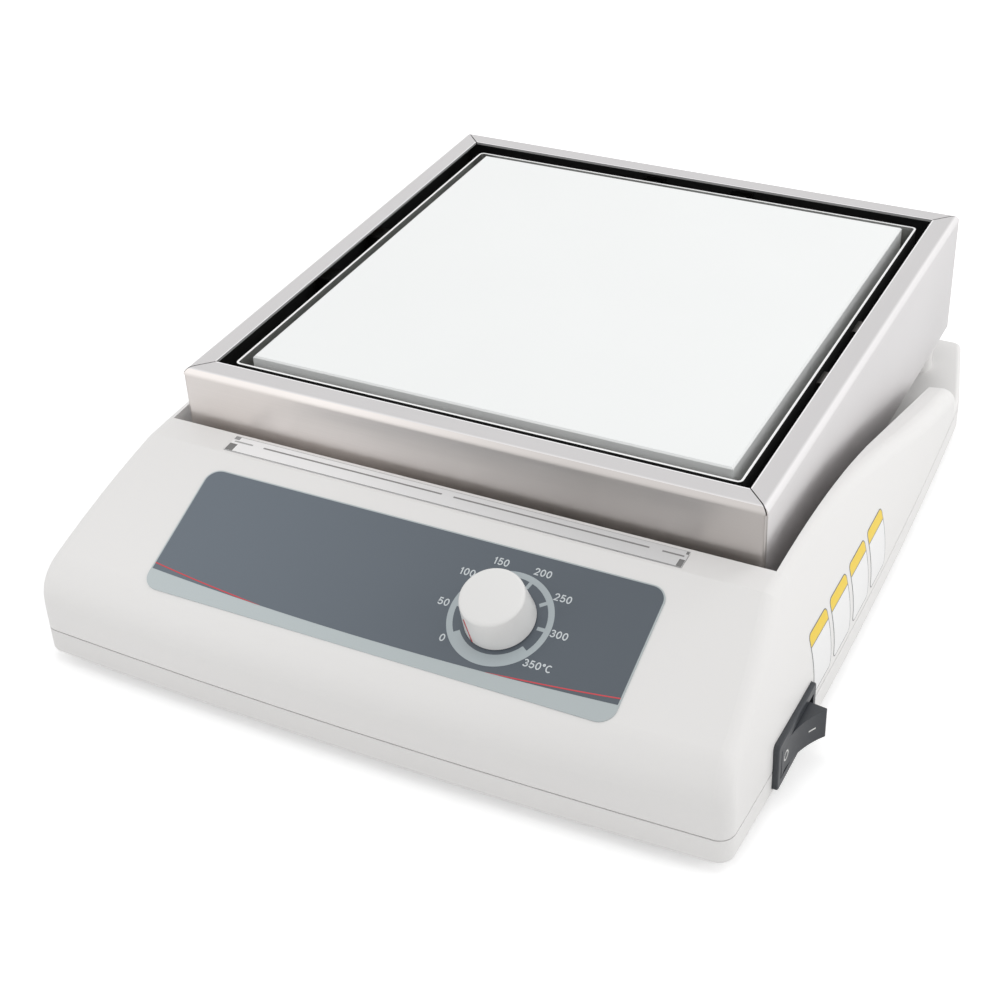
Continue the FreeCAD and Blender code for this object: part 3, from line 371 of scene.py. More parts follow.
def brushedGrain():
    # long fine scratches that run along each side of a square frame
    group, given, result = groupWith(
        "brushedGrain",
        {"Scratch": 0.5, "Roughness": 0.3, "Spread": 0.15, "Blotch": 0.1},
        {"Tone": "Float", "Roughness": "Float", "Normal": "Vector"},
    )
    place, axes = objectPlace(group)
    away = [mathNode(group, "ABSOLUTE", axes[label]) for label in "XY"]
    across = mathNode(group, "GREATER_THAN", *away)
    lines = []
    along, fine = brushing["along"], brushing["across"]
    for stretch in ((along, fine, fine), (fine, along, fine)):
        scaled = group.nodes.new("ShaderNodeMapping")
        scaled.inputs["Scale"].default_value = stretch
        group.links.new(place, scaled.inputs["Vector"])
        lines.append(noiseNode(group, scaled.outputs["Vector"], scale=2.6, detail=4))
    chosen = group.nodes.new("ShaderNodeMix")
    group.links.new(across, chosen.inputs["Factor"])
    group.links.new(lines[0], chosen.inputs["A"])
    group.links.new(lines[1], chosen.inputs["B"])
    scratch = chosen.outputs["Result"]
    centred = mathNode(group, "SUBTRACT", scratch, 0.5)
    cloud = mathNode(group, "SUBTRACT", noiseNode(group, place, scale=22, detail=3), 0.5)
    blotch = mathNode(group, "MULTIPLY", cloud, given.outputs["Blotch"])
    streak = mathNode(group, "MULTIPLY", centred, given.outputs["Spread"])
    tone = mathNode(group, "ADD", mathNode(group, "ADD", streak, 1.0), blotch)
    group.links.new(tone, result.inputs["Tone"])
    rough = mathNode(group, "MULTIPLY", centred, brushing["roughness"])
    rough = mathNode(group, "ADD", rough, blotch)
    rough = mathNode(group, "ADD", rough, given.outputs["Roughness"])
    group.links.new(rough, result.inputs["Roughness"])
    bump = group.nodes.new("ShaderNodeBump")
    bump.inputs["Distance"].default_value = brushing["depth"] * mm
    group.links.new(given.outputs["Scratch"], bump.inputs["Strength"])
    group.links.new(scratch, bump.inputs["Height"])
    group.links.new(bump.outputs["Normal"], result.inputs["Normal"])
    return group


def squareZone():
    # a mask for what lies between two square outlines and between two heights
    group, given, result = groupWith(
        "squareZone", {"Inner": 0.0, "Outer": 100.0, "Low": -1.0, "High": 0.0}, {"Mask": "Float"})
    place, axes = objectPlace(group)
    away = [mathNode(group, "ABSOLUTE", axes[label]) for label in "XY"]
    reach = mathNode(group, "MAXIMUM", *away)
    mask = None
    for value, test, limit in (
            (reach, "GREATER_THAN", "Inner"), (reach, "LESS_THAN", "Outer"),
            (axes["Z"], "GREATER_THAN", "Low"), (axes["Z"], "LESS_THAN", "High")):
        bound = mathNode(group, "MULTIPLY", given.outputs[limit], mm)
        passed = mathNode(group, test, value, bound)
        mask = passed if mask is None else mathNode(group, "MULTIPLY", mask, passed)
    group.links.new(mask, result.inputs["Mask"])
    return group


paintedShadeReach = 95  # the tone changes from this far on the left to as far on the right


def paintedSideShade():
    # painted shade: the tone changes from the left-hand side of the object to the right, lighter on
    # the left and darker on the right
    group, given, result = groupWith("paintedSideShade", {"Left": 1.0, "Right": 1.0}, {"Tone": "Float"})
    place, axes = objectPlace(group)
    drift = group.nodes.new("ShaderNodeMapRange")
    drift.interpolation_type = "SMOOTHSTEP"
    drift.inputs["From Min"].default_value = -paintedShadeReach * mm
    drift.inputs["From Max"].default_value = paintedShadeReach * mm
    group.links.new(axes["X"], drift.inputs["Value"])
    group.links.new(given.outputs["Left"], drift.inputs["To Min"])
    group.links.new(given.outputs["Right"], drift.inputs["To Max"])
    group.links.new(drift.outputs["Result"], result.inputs["Tone"])
    return group


# Painted sheen on the frame. The stops run from the low height to the high one: skirt, painted
# highlight on the fold, darker flange.
paintedSheen = {
    "low": -4,
    "high": 1,
    "stops": ((0.0, 0.80), (0.36, 0.80), (0.60, 0.94), (0.84, 0.94), (0.92, 0.65), (1.0, 0.65)),
    # the front is painted darker towards the right, and the front and the sides get painted tints
    "frontFace": -106.4,
    "frontFrom": -60,
    "frontTo": 50,
    "frontLeft": 1.04,
    "sideTint": (1.0, 1.0, 1.01),
    "frontTint": (1.0, 0.965, 0.94),
}


def paintedFoldSheen():
    # painted sheen on the rolled sheet: a darker flange, a painted highlight along the fold, and
    # painted shade darker across the front towards the right
    group, given, result = groupWith("paintedFoldSheen", {"Front shade": 0.7}, {"Tone": "Color"})
    place, axes = objectPlace(group)
    height = group.nodes.new("ShaderNodeMapRange")
    height.inputs["From Min"].default_value = paintedSheen["low"] * mm
    height.inputs["From Max"].default_value = paintedSheen["high"] * mm
    group.links.new(axes["Z"], height.inputs["Value"])
    ramp = group.nodes.new("ShaderNodeValToRGB")
    for position, tone in paintedSheen["stops"][2:]:  # a new ramp has two stops already
        ramp.color_ramp.elements.new(position)
    for element, (position, tone) in zip(ramp.color_ramp.elements, paintedSheen["stops"]):
        element.position = position
        element.color = (tone, tone, tone, 1)
    group.links.new(height.outputs["Result"], ramp.inputs["Fac"])
    across = group.nodes.new("ShaderNodeMapRange")
    across.interpolation_type = "SMOOTHSTEP"
    across.inputs["From Min"].default_value = paintedSheen["frontFrom"] * mm
    across.inputs["From Max"].default_value = paintedSheen["frontTo"] * mm
    across.inputs["To Min"].default_value = paintedSheen["frontLeft"]
    group.links.new(axes["X"], across.inputs["Value"])
    group.links.new(given.outputs["Front shade"], across.inputs["To Max"])
    front = mathNode(group, "LESS_THAN", axes["Y"], paintedSheen["frontFace"] * mm)
    change = mathNode(group, "SUBTRACT", across.outputs["Result"], 1.0)
    change = mathNode(group, "ADD", mathNode(group, "MULTIPLY", change, front), 1.0)
    warmth = mixColour(group, "MIX", front, paintedSheen["sideTint"], paintedSheen["frontTint"])
    tone = mathNode(group, "MULTIPLY", ramp.outputs["Color"], change)
    group.links.new(mixColour(group, "MULTIPLY", 1.0, warmth, tone), result.inputs["Tone"])
    return group


grainGroup = mouldedGrain()
brushGroup = brushedGrain()
zoneGroup = squareZone()
paintedSideShadeGroup = paintedSideShade()
paintedFoldSheenGroup = paintedFoldSheen()


def grainedMaterial(name, colour, group, values, **shaderValues):
    material = bpy.data.materials.new(name)
    material.use_nodes = True
    tree = material.node_tree
    shader = tree.nodes["Principled BSDF"]
    surface = tree.nodes.new("ShaderNodeGroup")
    surface.node_tree = group
    for label, value in values.items():
        surface.inputs[label].default_value = value
    tinted = mixColour(tree, "MULTIPLY", 1.0, colour, surface.outputs["Tone"])
    tree.links.new(tinted, shader.inputs["Base Color"])
    tree.links.new(surface.outputs["Roughness"], shader.inputs["Roughness"])
    tree.links.new(surface.outputs["Normal"], shader.inputs["Normal"])
    for label, value in shaderValues.items():
        shader.inputs[label.replace("_", " ")].default_value = value
    return material


def plastic(name, colour, grain=0.25, depth=0.02, roughness=0.45, drift=0.02, **shaderValues):
    values = {"Grain size": grain, "Depth": depth, "Roughness": roughness, "Tone drift": drift}
    return grainedMaterial(name, colour, grainGroup, values, **shaderValues)


def ink(name, colour, roughness=0.38, drift=0.02):
    return plastic(name, colour, grain=0.15, depth=0.006, roughness=roughness, drift=drift)


def foil(name, colour, roughness=0.3):
    return plastic(name, colour, grain=0.2, depth=0.004, roughness=roughness)


def steel(name, colour, scratch=0.5, roughness=0.3, spread=0.15, blotch=0.1):
    values = {"Scratch": scratch, "Roughness": roughness, "Spread": spread, "Blotch": blotch}
    return grainedMaterial(name, colour, brushGroup, values, Metallic=1.0)


def groupOutput(tree, group, label, **values):
    node = tree.nodes.new("ShaderNodeGroup")
    node.node_tree = group
    for name, value in values.items():
        node.inputs[name].default_value = value
    return node.outputs[label]


def toned(material, group, **values):
    # multiply the colour by a tone that changes over the surface; both groups given here paint
    # shade and sheen
    tree = material.node_tree
    socket = tree.nodes["Principled BSDF"].inputs["Base Color"]
    tone = groupOutput(tree, group, "Tone", **values)
    tree.links.new(mixColour(tree, "MULTIPLY", 1.0, socket.links[0].from_socket, tone), socket)
    return material


def painted(material, colour, metallic, roughness, inner, outer, low, high):
    # another colour, metallic and roughness between two square outlines and between two heights,
    # used below for painted shade, a painted highlight and the sheared edge
    tree = material.node_tree
    shader = tree.nodes["Principled BSDF"]
    mask = groupOutput(tree, zoneGroup, "Mask", Inner=inner, Outer=outer, Low=low, High=high)
    socket = shader.inputs["Base Color"]
    tree.links.new(mixColour(tree, "MIX", mask, socket.links[0].from_socket, colour), socket)
    for label, value in (("Metallic", metallic), ("Roughness", roughness)):
        socket = shader.inputs[label]
        mix = tree.nodes.new("ShaderNodeMix")
        tree.links.new(mask, mix.inputs["Factor"])
        mix.inputs["B"].default_value = value
        if socket.links:
            tree.links.new(socket.links[0].from_socket, mix.inputs["A"])
        else:
            mix.inputs["A"].default_value = socket.default_value
        tree.links.new(mix.outputs["Result"], socket)


finishes = {
    # the housing, the overlay, the print field and the window are toned by painted side shade,
    # darker towards the right
    "housing": toned(
        plastic("warmWhiteHousing", (0.82, 0.81, 0.80), grain=0.3, depth=0.03, roughness=0.42),
        paintedSideShadeGroup, Left=1.01, Right=0.97),
    "tray": plastic("warmWhiteTray", (0.80, 0.79, 0.78), grain=0.3, depth=0.03, roughness=0.46),
    # the frame's colour is toned by its painted sheen
    "frame": toned(
        steel(
            "brushedFrame", (1.0, 0.98, 0.975),
            scratch=0.4, roughness=0.36, spread=0.08, blotch=0.06),
        paintedFoldSheenGroup),
    "pan": steel("pressedPan", (0.95, 0.95, 0.95), scratch=0.15, roughness=0.25, spread=0.05),
    "plate": plastic(
        "whiteCeramic", (0.875, 0.89, 0.885), grain=0.6, depth=0.012, roughness=0.32, drift=0.03),
    # painted shade: the clips are made dark to sink into the shaded gap
    "bracket": steel("shadeDarkenedClips", (0.20, 0.19, 0.18), scratch=0.2, roughness=0.4),
    "inner": steel("galvanisedSheet", (0.50, 0.50, 0.50), scratch=0.25, roughness=0.42),
    "screws": steel("zincScrews", (0.66, 0.65, 0.62), scratch=0.2, roughness=0.35),
    "fibre": plastic(
        "mineralFibre", (0.66, 0.62, 0.52), grain=1.2, depth=0.4, roughness=0.85, drift=0.2),
    "sheath": steel("heatedSheath", (0.25, 0.24, 0.23), scratch=0.2, roughness=0.5),
    "copper": steel("copperLine", (0.72, 0.40, 0.25), scratch=0.1, roughness=0.3),
    "brass": steel("brassTabs", (0.78, 0.60, 0.32), scratch=0.2, roughness=0.3),
    "black": plastic("blackMoulding", (0.02, 0.02, 0.022), roughness=0.5),
    "overlay": toned(
        ink("overlayFilm", (0.48, 0.53, 0.54), roughness=0.36), paintedSideShadeGroup, Left=1.06, Right=0.92),
    "field": toned(
        ink("slatePrint", (0.108, 0.130, 0.155), drift=0.04), paintedSideShadeGroup, Left=1.22, Right=0.80),
    "scale": ink("paleScalePrint", (0.41, 0.46, 0.48)),
    "figures": ink("paleFigurePrint", (0.60, 0.64, 0.66)),
    "red": ink("redPrint", (0.62, 0.055, 0.07), roughness=0.36),
    "knob": plastic("whiteKnob", (0.79, 0.785, 0.775), grain=0.2, depth=0.006, roughness=0.25),
    "window": toned(
        plastic(
            "frostedWindow", (0.93, 0.93, 0.935),
            grain=0.5, depth=0.01, roughness=0.15, Coat_Weight=0.4),
        paintedSideShadeGroup, Left=1.0, Right=0.74),
    # the light bar's lines: painted shade on its front edge and in its slots, and a faint line on
    # its back edge
    "line": foil("darkShadeLine", (0.26, 0.255, 0.255), roughness=0.4),
    "faintLine": foil("faintLine", (0.42, 0.42, 0.42), roughness=0.4),
    "smoke": plastic("smokeEnds", (0.20, 0.20, 0.20), grain=0.3, roughness=0.2),
    "haze": plastic("hazyEnds", (0.32, 0.32, 0.32), grain=0.3, roughness=0.2),
    "lamp": plastic("amberLamp", (0.80, 0.30, 0.12), roughness=0.2),
    "board": plastic("boardLaminate", (0.03, 0.14, 0.06), roughness=0.4),
    "switch": plastic("slateSwitch", (0.036, 0.040, 0.047), grain=0.18, depth=0.02, roughness=0.38),
    "mark": plastic("whiteMark", (0.72, 0.72, 0.70), grain=0.15, depth=0.01, roughness=0.4),
    "rubber": plastic("footRubber", (0.025, 0.025, 0.027), grain=0.4, depth=0.03, roughness=0.75),
    "terminal": plastic("creamTerminal", (0.70, 0.67, 0.56), roughness=0.45),
    "stickerWhite": foil("stickerWhite", (0.84, 0.84, 0.84)),
    "stickerYellow": foil("stickerYellow", (0.86, 0.61, 0.022)),
    "stickerGrey": foil("stickerGrey", (0.15, 0.15, 0.16)),
}

# Frame: the inside of the skirt painted black as shade, the sheared edge of the opening, and a
# painted highlight along the top of that edge
# painted shade: the inside of the skirt is made black, where the gap lies in shade
painted(finishes["frame"], (0.017, 0.017, 0.017), metallic=0.0, roughness=0.75,
        inner=0, outer=106.9, low=-60, high=-0.28)
painted(finishes["frame"], (0.40, 0.40, 0.40), metallic=0.3, roughness=0.5,
        inner=0, outer=99.3, low=-0.28, high=0.66)
# painted highlight: a bright thin line along the top of the opening's edge
painted(finishes["frame"], (0.95, 0.94, 0.95), metallic=1.0, roughness=0.3,
        inner=99.2, outer=99.7, low=0.6, high=1)

# Pan, below its rim: painted shade, black outside and darker metal inside
# painted shade: the outside of the pan's wall, seen down the gap, is made black
painted(finishes["pan"], (0.018, 0.018, 0.018), metallic=0.0, roughness=0.75,
        inner=94.3, outer=100, low=-60, high=-1.5)
# painted shade: the inside of the pan's wall is darker than the pan's own colour
painted(finishes["pan"], (0.46, 0.46, 0.45), metallic=1.0, roughness=0.38,
        inner=0, outer=94.3, low=-60, high=-1.5)

nodeFinish = {
    "upper_housing": "housing", "lower_tray": "tray", "housing_screws": "screws",
    "rubber_feet": "rubber", "foot_screws": "screws", "heater_frame": "frame",
    "frame_floor": "inner", "liner_pan": "pan", "pan_brackets": "bracket",
    "insulation_block": "fibre", "heating_plate": "plate", "plate_spacers": "inner",
    "plate_studs": "screws", "stud_nuts": "screws", "heating_element": "sheath",
    "clamp_plate": "inner", "clamp_screws": "screws", "overheat_cutout": "black",
    "sensor_bulb": "copper", "frame_posts": "housing", "post_screws": "screws",
    "lead_sleeve": "inner", "deck_grommet": "rubber", "panel_overlay": "overlay",
    "temperature_controller": "black", "controller_nut": "screws", "controller_shaft": "screws",
    "control_knob": "knob", "light_window": "window", "light_guide": "window",
    "indicator_lamps": "lamp", "lamp_board": "board", "board_screws": "screws",
    "switch_body": "switch", "switch_rocker": "switch", "switch_terminals": "brass",
    "power_inlet": "black", "inlet_pins": "brass", "terminal_block": "terminal",
    "block_screws": "screws",
}


def dressNodes():
    for name, finish in nodeFinish.items():
        node = nodes[name]
        if not node.material_slots:
            node.data.materials.append(finishes[finish])
        for held in node.material_slots:
            held.material = finishes[finish]


# Folded frame: each side is bent down over its own straight edge, so the bends meet in mitres

lid = {
    "half": 107.75,
    "opening": 99.25,
    "top": 0.7,
    "bottom": -48.3,
    "sheet": 1.0,
    "bend": 2.8,
    "bendSteps": 9,
    "corner": 1.2,
    "cornerSteps": 3,
    "seam": 0.42,
    "seamFoot": -1.9,
    "seamInside": 2.0,
    "seamOutside": 3.0,
    "seamAbove": 1.0,
}


def foldFrame():
    half, top, bend = lid["half"], lid["top"], lid["bend"]
    shell = blockBetween((-half, -half, lid["bottom"]), (half, half, top))
    selectFaces(shell, facesDown)
    bpy.ops.mesh.delete(type="FACE")
    bevelEdges(shell, liesAt(top), bend, lid["bendSteps"])
    selectFaces(shell, facesUp)
    bpy.ops.mesh.inset(thickness=half - bend - lid["opening"])
    bpy.ops.mesh.delete(type="FACE")
    bevelEdges(shell, standsUpright, lid["corner"], lid["cornerSteps"])
    bpy.ops.object.mode_set(mode="OBJECT")
    addModifier(shell, "SOLIDIFY", thickness=lid["sheet"], offset=-1, use_even_offset=True)
    tidyMesh(shell)

    # the open seam on each mitre, cut from inside the opening to outside the corner
    low = (lid["opening"] - lid["seamInside"]) * math.sqrt(2)
    high = (half + lid["seamOutside"]) * math.sqrt(2)
    seam = lid["seam"] / 2
    cutter = blockBetween((low, -seam, lid["seamFoot"]), (high, seam, top + lid["seamAbove"]))
    for turn in (45, 135, 225, 315):
        knife = copyOf(cutter)
        knife.rotation_euler = (0, 0, math.radians(turn))
        applyPlace(knife)
        addModifier(shell, "BOOLEAN", object=knife, operation="DIFFERENCE", solver="MANIFOLD")
        bpy.data.objects.remove(knife)
    bpy.data.objects.remove(cutter)
    shell.scale = (mm, mm, mm)
    finishPiece(shell, "foldedFrame", finishes["frame"], "base")
    smoothSides(shell, degrees=30)
    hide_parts("heater_frame")


# Pressed pan whose rim stands round the plate

pan = {
    "inner": 93.9,
    "outer": 94.7,
    "top": -1.4,
    "floor": -44.3,
    "floorSheet": 1.2,
    "corner": 1.9,
    "cornerSteps": 5,
}


def pressPan():
    outer, top, floor = pan["outer"], pan["top"], pan["floor"]
    shell = blockBetween((-outer, -outer, floor), (outer, outer, top))
    bevelEdges(shell, standsUpright, pan["corner"], pan["cornerSteps"])
    bpy.ops.object.mode_set(mode="OBJECT")
    selectFaces(shell, facesUp)
    bpy.ops.mesh.inset(thickness=outer - pan["inner"])
    bpy.ops.mesh.extrude_region_move(
        TRANSFORM_OT_translate={"value": (0, 0, floor + pan["floorSheet"] - top)})
    bpy.ops.object.mode_set(mode="OBJECT")
    tidyMesh(shell)
    shell.scale = (mm, mm, mm)
    finishPiece(shell, "pressedPan", finishes["pan"], "base")
    smoothSides(shell, degrees=30)
    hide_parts("liner_pan")


# Channel clips in the dark gap, two on each side

clip = {
    "from": 94.7,
    "to": 106.75,
    "width": 8.0,
    "top": -5.0,
    "leg": 7.0,
    "sheet": 0.8,
    "offset": 19.0,
}


def bendClips():
    half, top = clip["width"] / 2, clip["top"]
    first = blockBetween((clip["from"], -half, top - clip["leg"]), (clip["to"], half, top))
    selectFaces(first, lambda centre, normal: facesDown(centre, normal) or abs(normal.y) > 0.999)
    bpy.ops.mesh.delete(type="FACE")
    bpy.ops.object.mode_set(mode="OBJECT")
    addModifier(first, "SOLIDIFY", thickness=clip["sheet"], offset=-1, use_even_offset=True)
    clips = []
    for turn in (0, 90, 180, 270):
        for offset in (-clip["offset"], clip["offset"]):
            piece = copyOf(first)
            aside = Matrix.Translation((0, offset, 0))
            piece.matrix_world = Matrix.Rotation(math.radians(turn), 4, "Z") @ aside
            applyPlace(piece)
            clips.append(piece)
    bpy.data.objects.remove(first)
    pick(clips[0])
    for piece in clips:
        piece.select_set(True)
    bpy.ops.object.join()
    joined = bpy.context.object
    tidyMesh(joined)
    joined.scale = (mm, mm, mm)
    finishPiece(joined, "panClips", finishes["bracket"], "base")
    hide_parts("pan_brackets")


# Printed film on the sloping panel. Places on it are (x, down), with down measured
# along the slope from the film's upper edge.

panelFilm = {
    "slope": 21.9,
    "stripEdge": (0, -121.5, -19.9),
    "start": 7.3,
    "thickness": 0.35,
    "fieldLift": 0.03,
    "printLift": 0.06,
    "half": 84.5,
    "margin": 0.45,
    "corner": 5.0,
    "cornerSteps": 8,
    "fieldFoot": 45.03,
    "fieldBow": 0.000372,
    "fieldSteps": 48,
    "redFoot": 45.7,
    "redBow": 0.00078,
    "redWidth": 0.42,
    "redFrom": 41,
    "redTip": 0.15,
    "redTaper": 4,
    "redSteps": 24,
}


def panelPlace(x, down, lift):
    # local X runs along the panel, local Y up the slope, local Z outwards
    slope = math.radians(panelFilm["slope"])
    away = Vector((0, -math.cos(slope), -math.sin(slope)))
    outward = Vector((0, -math.sin(slope), math.cos(slope)))
    place = Vector(panelFilm["stripEdge"]) + Vector((x, 0, 0))
    place += away * (panelFilm["start"] + down) + outward * (panelFilm["thickness"] + lift)
    return Matrix.Translation(place * mm) @ Matrix.Rotation(slope, 4, "X") @ Matrix.Scale(mm, 4)


def flatPrintAndShade(name, outlines, place, finish):
    # closed outlines in the piece's own plane, for prints and for lines of painted shade: an inner
    # one makes a hole
    curve = bpy.data.curves.new(name, "CURVE")
    curve.dimensions = "2D"
    curve.fill_mode = "BOTH"
    for outline in outlines:
        spline = curve.splines.new("POLY")
        spline.points.add(len(outline) - 1)
        for point, (x, y) in zip(spline.points, outline):
            point.co = (x, y, 0, 1)
        spline.use_cyclic_u = True
    piece = bpy.data.objects.new(name, curve)
    bpy.context.collection.objects.link(piece)
    pick(piece)
    bpy.ops.object.convert(target="MESH")
    piece = bpy.context.object
    piece.matrix_world = place
    finishPiece(piece, name, finishes[finish], "base")


def arcPoints(x, y, radius, start, end, steps):
    angles = [math.radians(start + (end - start) * i / steps) for i in range(steps + 1)]
    return [(x + radius * math.cos(a), y + radius * math.sin(a)) for a in angles]


def printField():
    film = panelFilm
    inset = film["half"] - film["corner"]
    top = -film["margin"] - film["corner"]
    steps = film["fieldSteps"]
    outline = arcPoints(-inset, top, film["corner"], 180, 90, film["cornerSteps"])
    outline += arcPoints(inset, top, film["corner"], 90, 0, film["cornerSteps"])
    for i in range(steps + 1):
        x = film["half"] * (1 - 2 * i / steps)
        outline.append((x, -film["fieldFoot"] + film["fieldBow"] * x * x))
    flatPrintAndShade("panelField", [outline], panelPlace(0, 0, film["fieldLift"]), "field")


def printRedLines():
    # each line thins out to a tip at its inner end
    film = panelFilm
    steps = film["redSteps"]
    for side, name in ((-1, "redLineLeft"), (1, "redLineRight")):
        upper = []
        lower = []
        for i in range(steps + 1):
            x = film["redFrom"] + (film["half"] - film["redFrom"]) * i / steps
            y = -film["redFoot"] + film["redBow"] * x * x
            half = film["redWidth"] / 2 * min(1, film["redTip"] + film["redTaper"] * i / steps)
            upper.append((side * x, y + half))
            lower.append((side * x, y - half))
        flatPrintAndShade(name, [upper + lower[::-1]], panelPlace(0, 0, film["printLift"]), "red")


# Figures drawn as strokes of one width, on a body one unit high

figureStyle = {"height": 2.25, "stroke": 0.43, "gap": 0.32, "mitre": 0.5}


def ovalPoints(x, y, across, up, start, end, steps):
    return [(x + across * px, y + up * py) for px, py in arcPoints(0, 0, 1, start, end, steps)]


def ovalRing(x, y, across, up, steps):
    return ovalPoints(x, y, across, up, 0, 360 - 360 / steps, steps - 1)


def signShape(sign):
    # the width of the sign, what kind of line it has, and the line
    if sign == "1":
        return 0.30, "outline", [(0.30, -0.09), (0.30, 1.09), (0.16, 1.09), (0.09, 0.95),
                                 (-0.06, 0.89), (-0.06, 0.74), (0.11, 0.79), (0.11, -0.09)]
    if sign == "0":
        return 0.60, "ring", ovalRing(0.30, 0.5, 0.30, 0.5, 48)
    if sign == "2":
        hook = ovalPoints(0.29, 0.70, 0.28, 0.30, 172, -38, 14)
        return 0.58, "stroke", hook + [(0.02, 0.0), (0.62, 0.0)]
    if sign == "3":
        top = ovalPoints(0.28, 0.75, 0.26, 0.25, 158, -82, 12)
        return 0.58, "stroke", top + ovalPoints(0.28, 0.26, 0.31, 0.27, 82, -160, 14)
    if sign == "5":
        bowl = ovalPoints(0.29, 0.31, 0.31, 0.31, 138, -158, 18)
        return 0.60, "stroke", [(0.57, 1.0), (0.12, 1.0)] + bowl
    if sign == "C":
        return 0.66, "stroke", ovalPoints(0.38, 0.5, 0.38, 0.5, 48, 312, 24)
    return 0.26, "ring", ovalRing(0.13, 0.88, 0.13, 0.13, 24)


def stepBetween(start, end):
    # the direction from one point to the next, one unit long, or none at the end of a line
    length = math.hypot(end[0] - start[0], end[1] - start[1]) or 1
    return (end[0] - start[0]) / length, (end[1] - start[1]) / length


def strokeOutlines(line, kind, half):
    # the edges of a stroke, mitred at its bends: a ring has two outlines, an open stroke has one
    if kind == "outline":
        return [line]
    first, last = (line[-1], line[0]) if kind == "ring" else (line[0], line[-1])
    left = []
    right = []
    for before, point, after in zip([first] + line, line, line[1:] + [last]):
        into, out = stepBetween(before, point), stepBetween(point, after)
        alongX, alongY = into[0] + out[0], into[1] + out[1]
        along = math.hypot(alongX, alongY)
        atEnd = before == point or point == after
        reach = half if atEnd else half / max(figureStyle["mitre"], along / 2)
        sideX, sideY = -alongY / along * reach, alongX / along * reach
        left.append((point[0] + sideX, point[1] + sideY))
        right.append((point[0] - sideX, point[1] - sideY))
    return [left, right] if kind == "ring" else [left + right[::-1]]


def figureOutlines(words):
    height, half = figureStyle["height"], figureStyle["stroke"] / 2
    between = figureStyle["stroke"] + figureStyle["gap"]
    shapes = [signShape(sign) for sign in words]
    total = sum(width for width, kind, line in shapes) * height + (len(words) - 1) * between
    start = -total / 2
    outlines = []
    for width, kind, line in shapes:
        placed = [(start + x * height, (y - 0.5) * height) for x, y in line]
        outlines += strokeOutlines(placed, kind, half)
        start += width * height + between
    return outlines


# Dial scale round the knob: a ring with ticks, widened between the first and last marks

dial = {
    "x": 37.6,
    "down": 25.3,
    "outer": 17.3,
    "inner": 15.25,
    "tickEnd": 12.8,
    "bandInner": 13.15,
    "tickWidth": 1.3,
    "first": -143.9,
    "last": -33.0,
    "ticks": (177.8, 144.0, 109.0, 73.6, 37.2, -0.1),
    "arcSteps": 8,
    "tipSteps": 2,
    "bandSteps": 36,
    "ringSteps": 96,
    "figures": {
        "0": (22.75, 37.2), "50": (17.55, 25.1), "100": (20.4, 12.8), "150": (29.5, 6.1),
        "200": (44.2, 6.2), "250": (54.0, 13.0), "300": (58.0, 25.5), "350°C": (55.8, 37.5),
    },
}


def printDial():
    inner = []
    arcSteps = dial["arcSteps"]
    start = dial["first"] + 360
    for angle in dial["ticks"]:
        half = math.degrees(dial["tickWidth"] / 2 / dial["inner"])
        tipHalf = math.degrees(dial["tickWidth"] / 2 / dial["tickEnd"])
        inner += arcPoints(0, 0, dial["inner"], start, angle + half, arcSteps)
        inner += arcPoints(
            0, 0, dial["tickEnd"], angle + tipHalf, angle - tipHalf, dial["tipSteps"])
        start = angle - half
    inner += arcPoints(0, 0, dial["inner"], start, dial["last"], arcSteps)
    inner += arcPoints(0, 0, dial["bandInner"], dial["last"], dial["first"], dial["bandSteps"])
    ring = ovalRing(0, 0, dial["outer"], dial["outer"], dial["ringSteps"])
    lift = panelFilm["printLift"]
    flatPrintAndShade("dialScale", [ring, inner], panelPlace(dial["x"], dial["down"], lift), "scale")
    for i, (words, (x, down)) in enumerate(dial["figures"].items()):
        flatPrintAndShade("dialFigure%d" % i, figureOutlines(words), panelPlace(x, down, lift), "figures")


# Knob: a tapered skirt with a rounded rim, hollow underneath round its boss

knob = {
    "base": 11.7,
    "cap": 10.5,
    "low": 0.8,
    "high": 13.5,
    "round": 1.1,
    "roundSteps": 5,
    "sides": 128,
    "wall": 2.1,
    "bossRadius": 5.2,
    "bossLow": 3.1,
    "ceiling": 10.2,
}


def turnKnob():
    deselectAll()
    bpy.ops.mesh.primitive_cone_add(
        vertices=knob["sides"], radius1=knob["base"], radius2=knob["cap"],
        depth=knob["high"] - knob["low"], location=(0, 0, (knob["high"] + knob["low"]) / 2))
    body = bpy.context.object
    applyPlace(body)
    bevelEdges(body, liesAt(knob["high"]), knob["round"], knob["roundSteps"])
    bpy.ops.object.mode_set(mode="OBJECT")
    selectFaces(body, facesDown)
    bpy.ops.mesh.inset(thickness=knob["wall"])
    bpy.ops.mesh.extrude_region_move(
        TRANSFORM_OT_translate={"value": (0, 0, knob["ceiling"] - knob["low"])})
    bpy.ops.mesh.inset(thickness=knob["base"] - knob["wall"] - knob["bossRadius"])
    bpy.ops.mesh.extrude_region_move(
        TRANSFORM_OT_translate={"value": (0, 0, knob["bossLow"] - knob["ceiling"])})
    bpy.ops.object.mode_set(mode="OBJECT")
    tidyMesh(body)
    body.matrix_world = panelPlace(dial["x"], dial["down"], -panelFilm["thickness"])
    finishPiece(body, "turnedKnob", finishes["knob"], "knob")
    smoothSides(body, degrees=40)
    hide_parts("control_knob")


# Pointer on the knob's skirt: a red line with a fine dark edge. Each end has an angle,
# a radius and a height.

pointer = {
    "head": (-125, 10.83, 10.4),
    "foot": (-114, 11.70, 0.85),
    "width": 0.5,
    "edgeWidth": 0.24,
    "proud": 0.14,
    "bevel": 0.05,
}


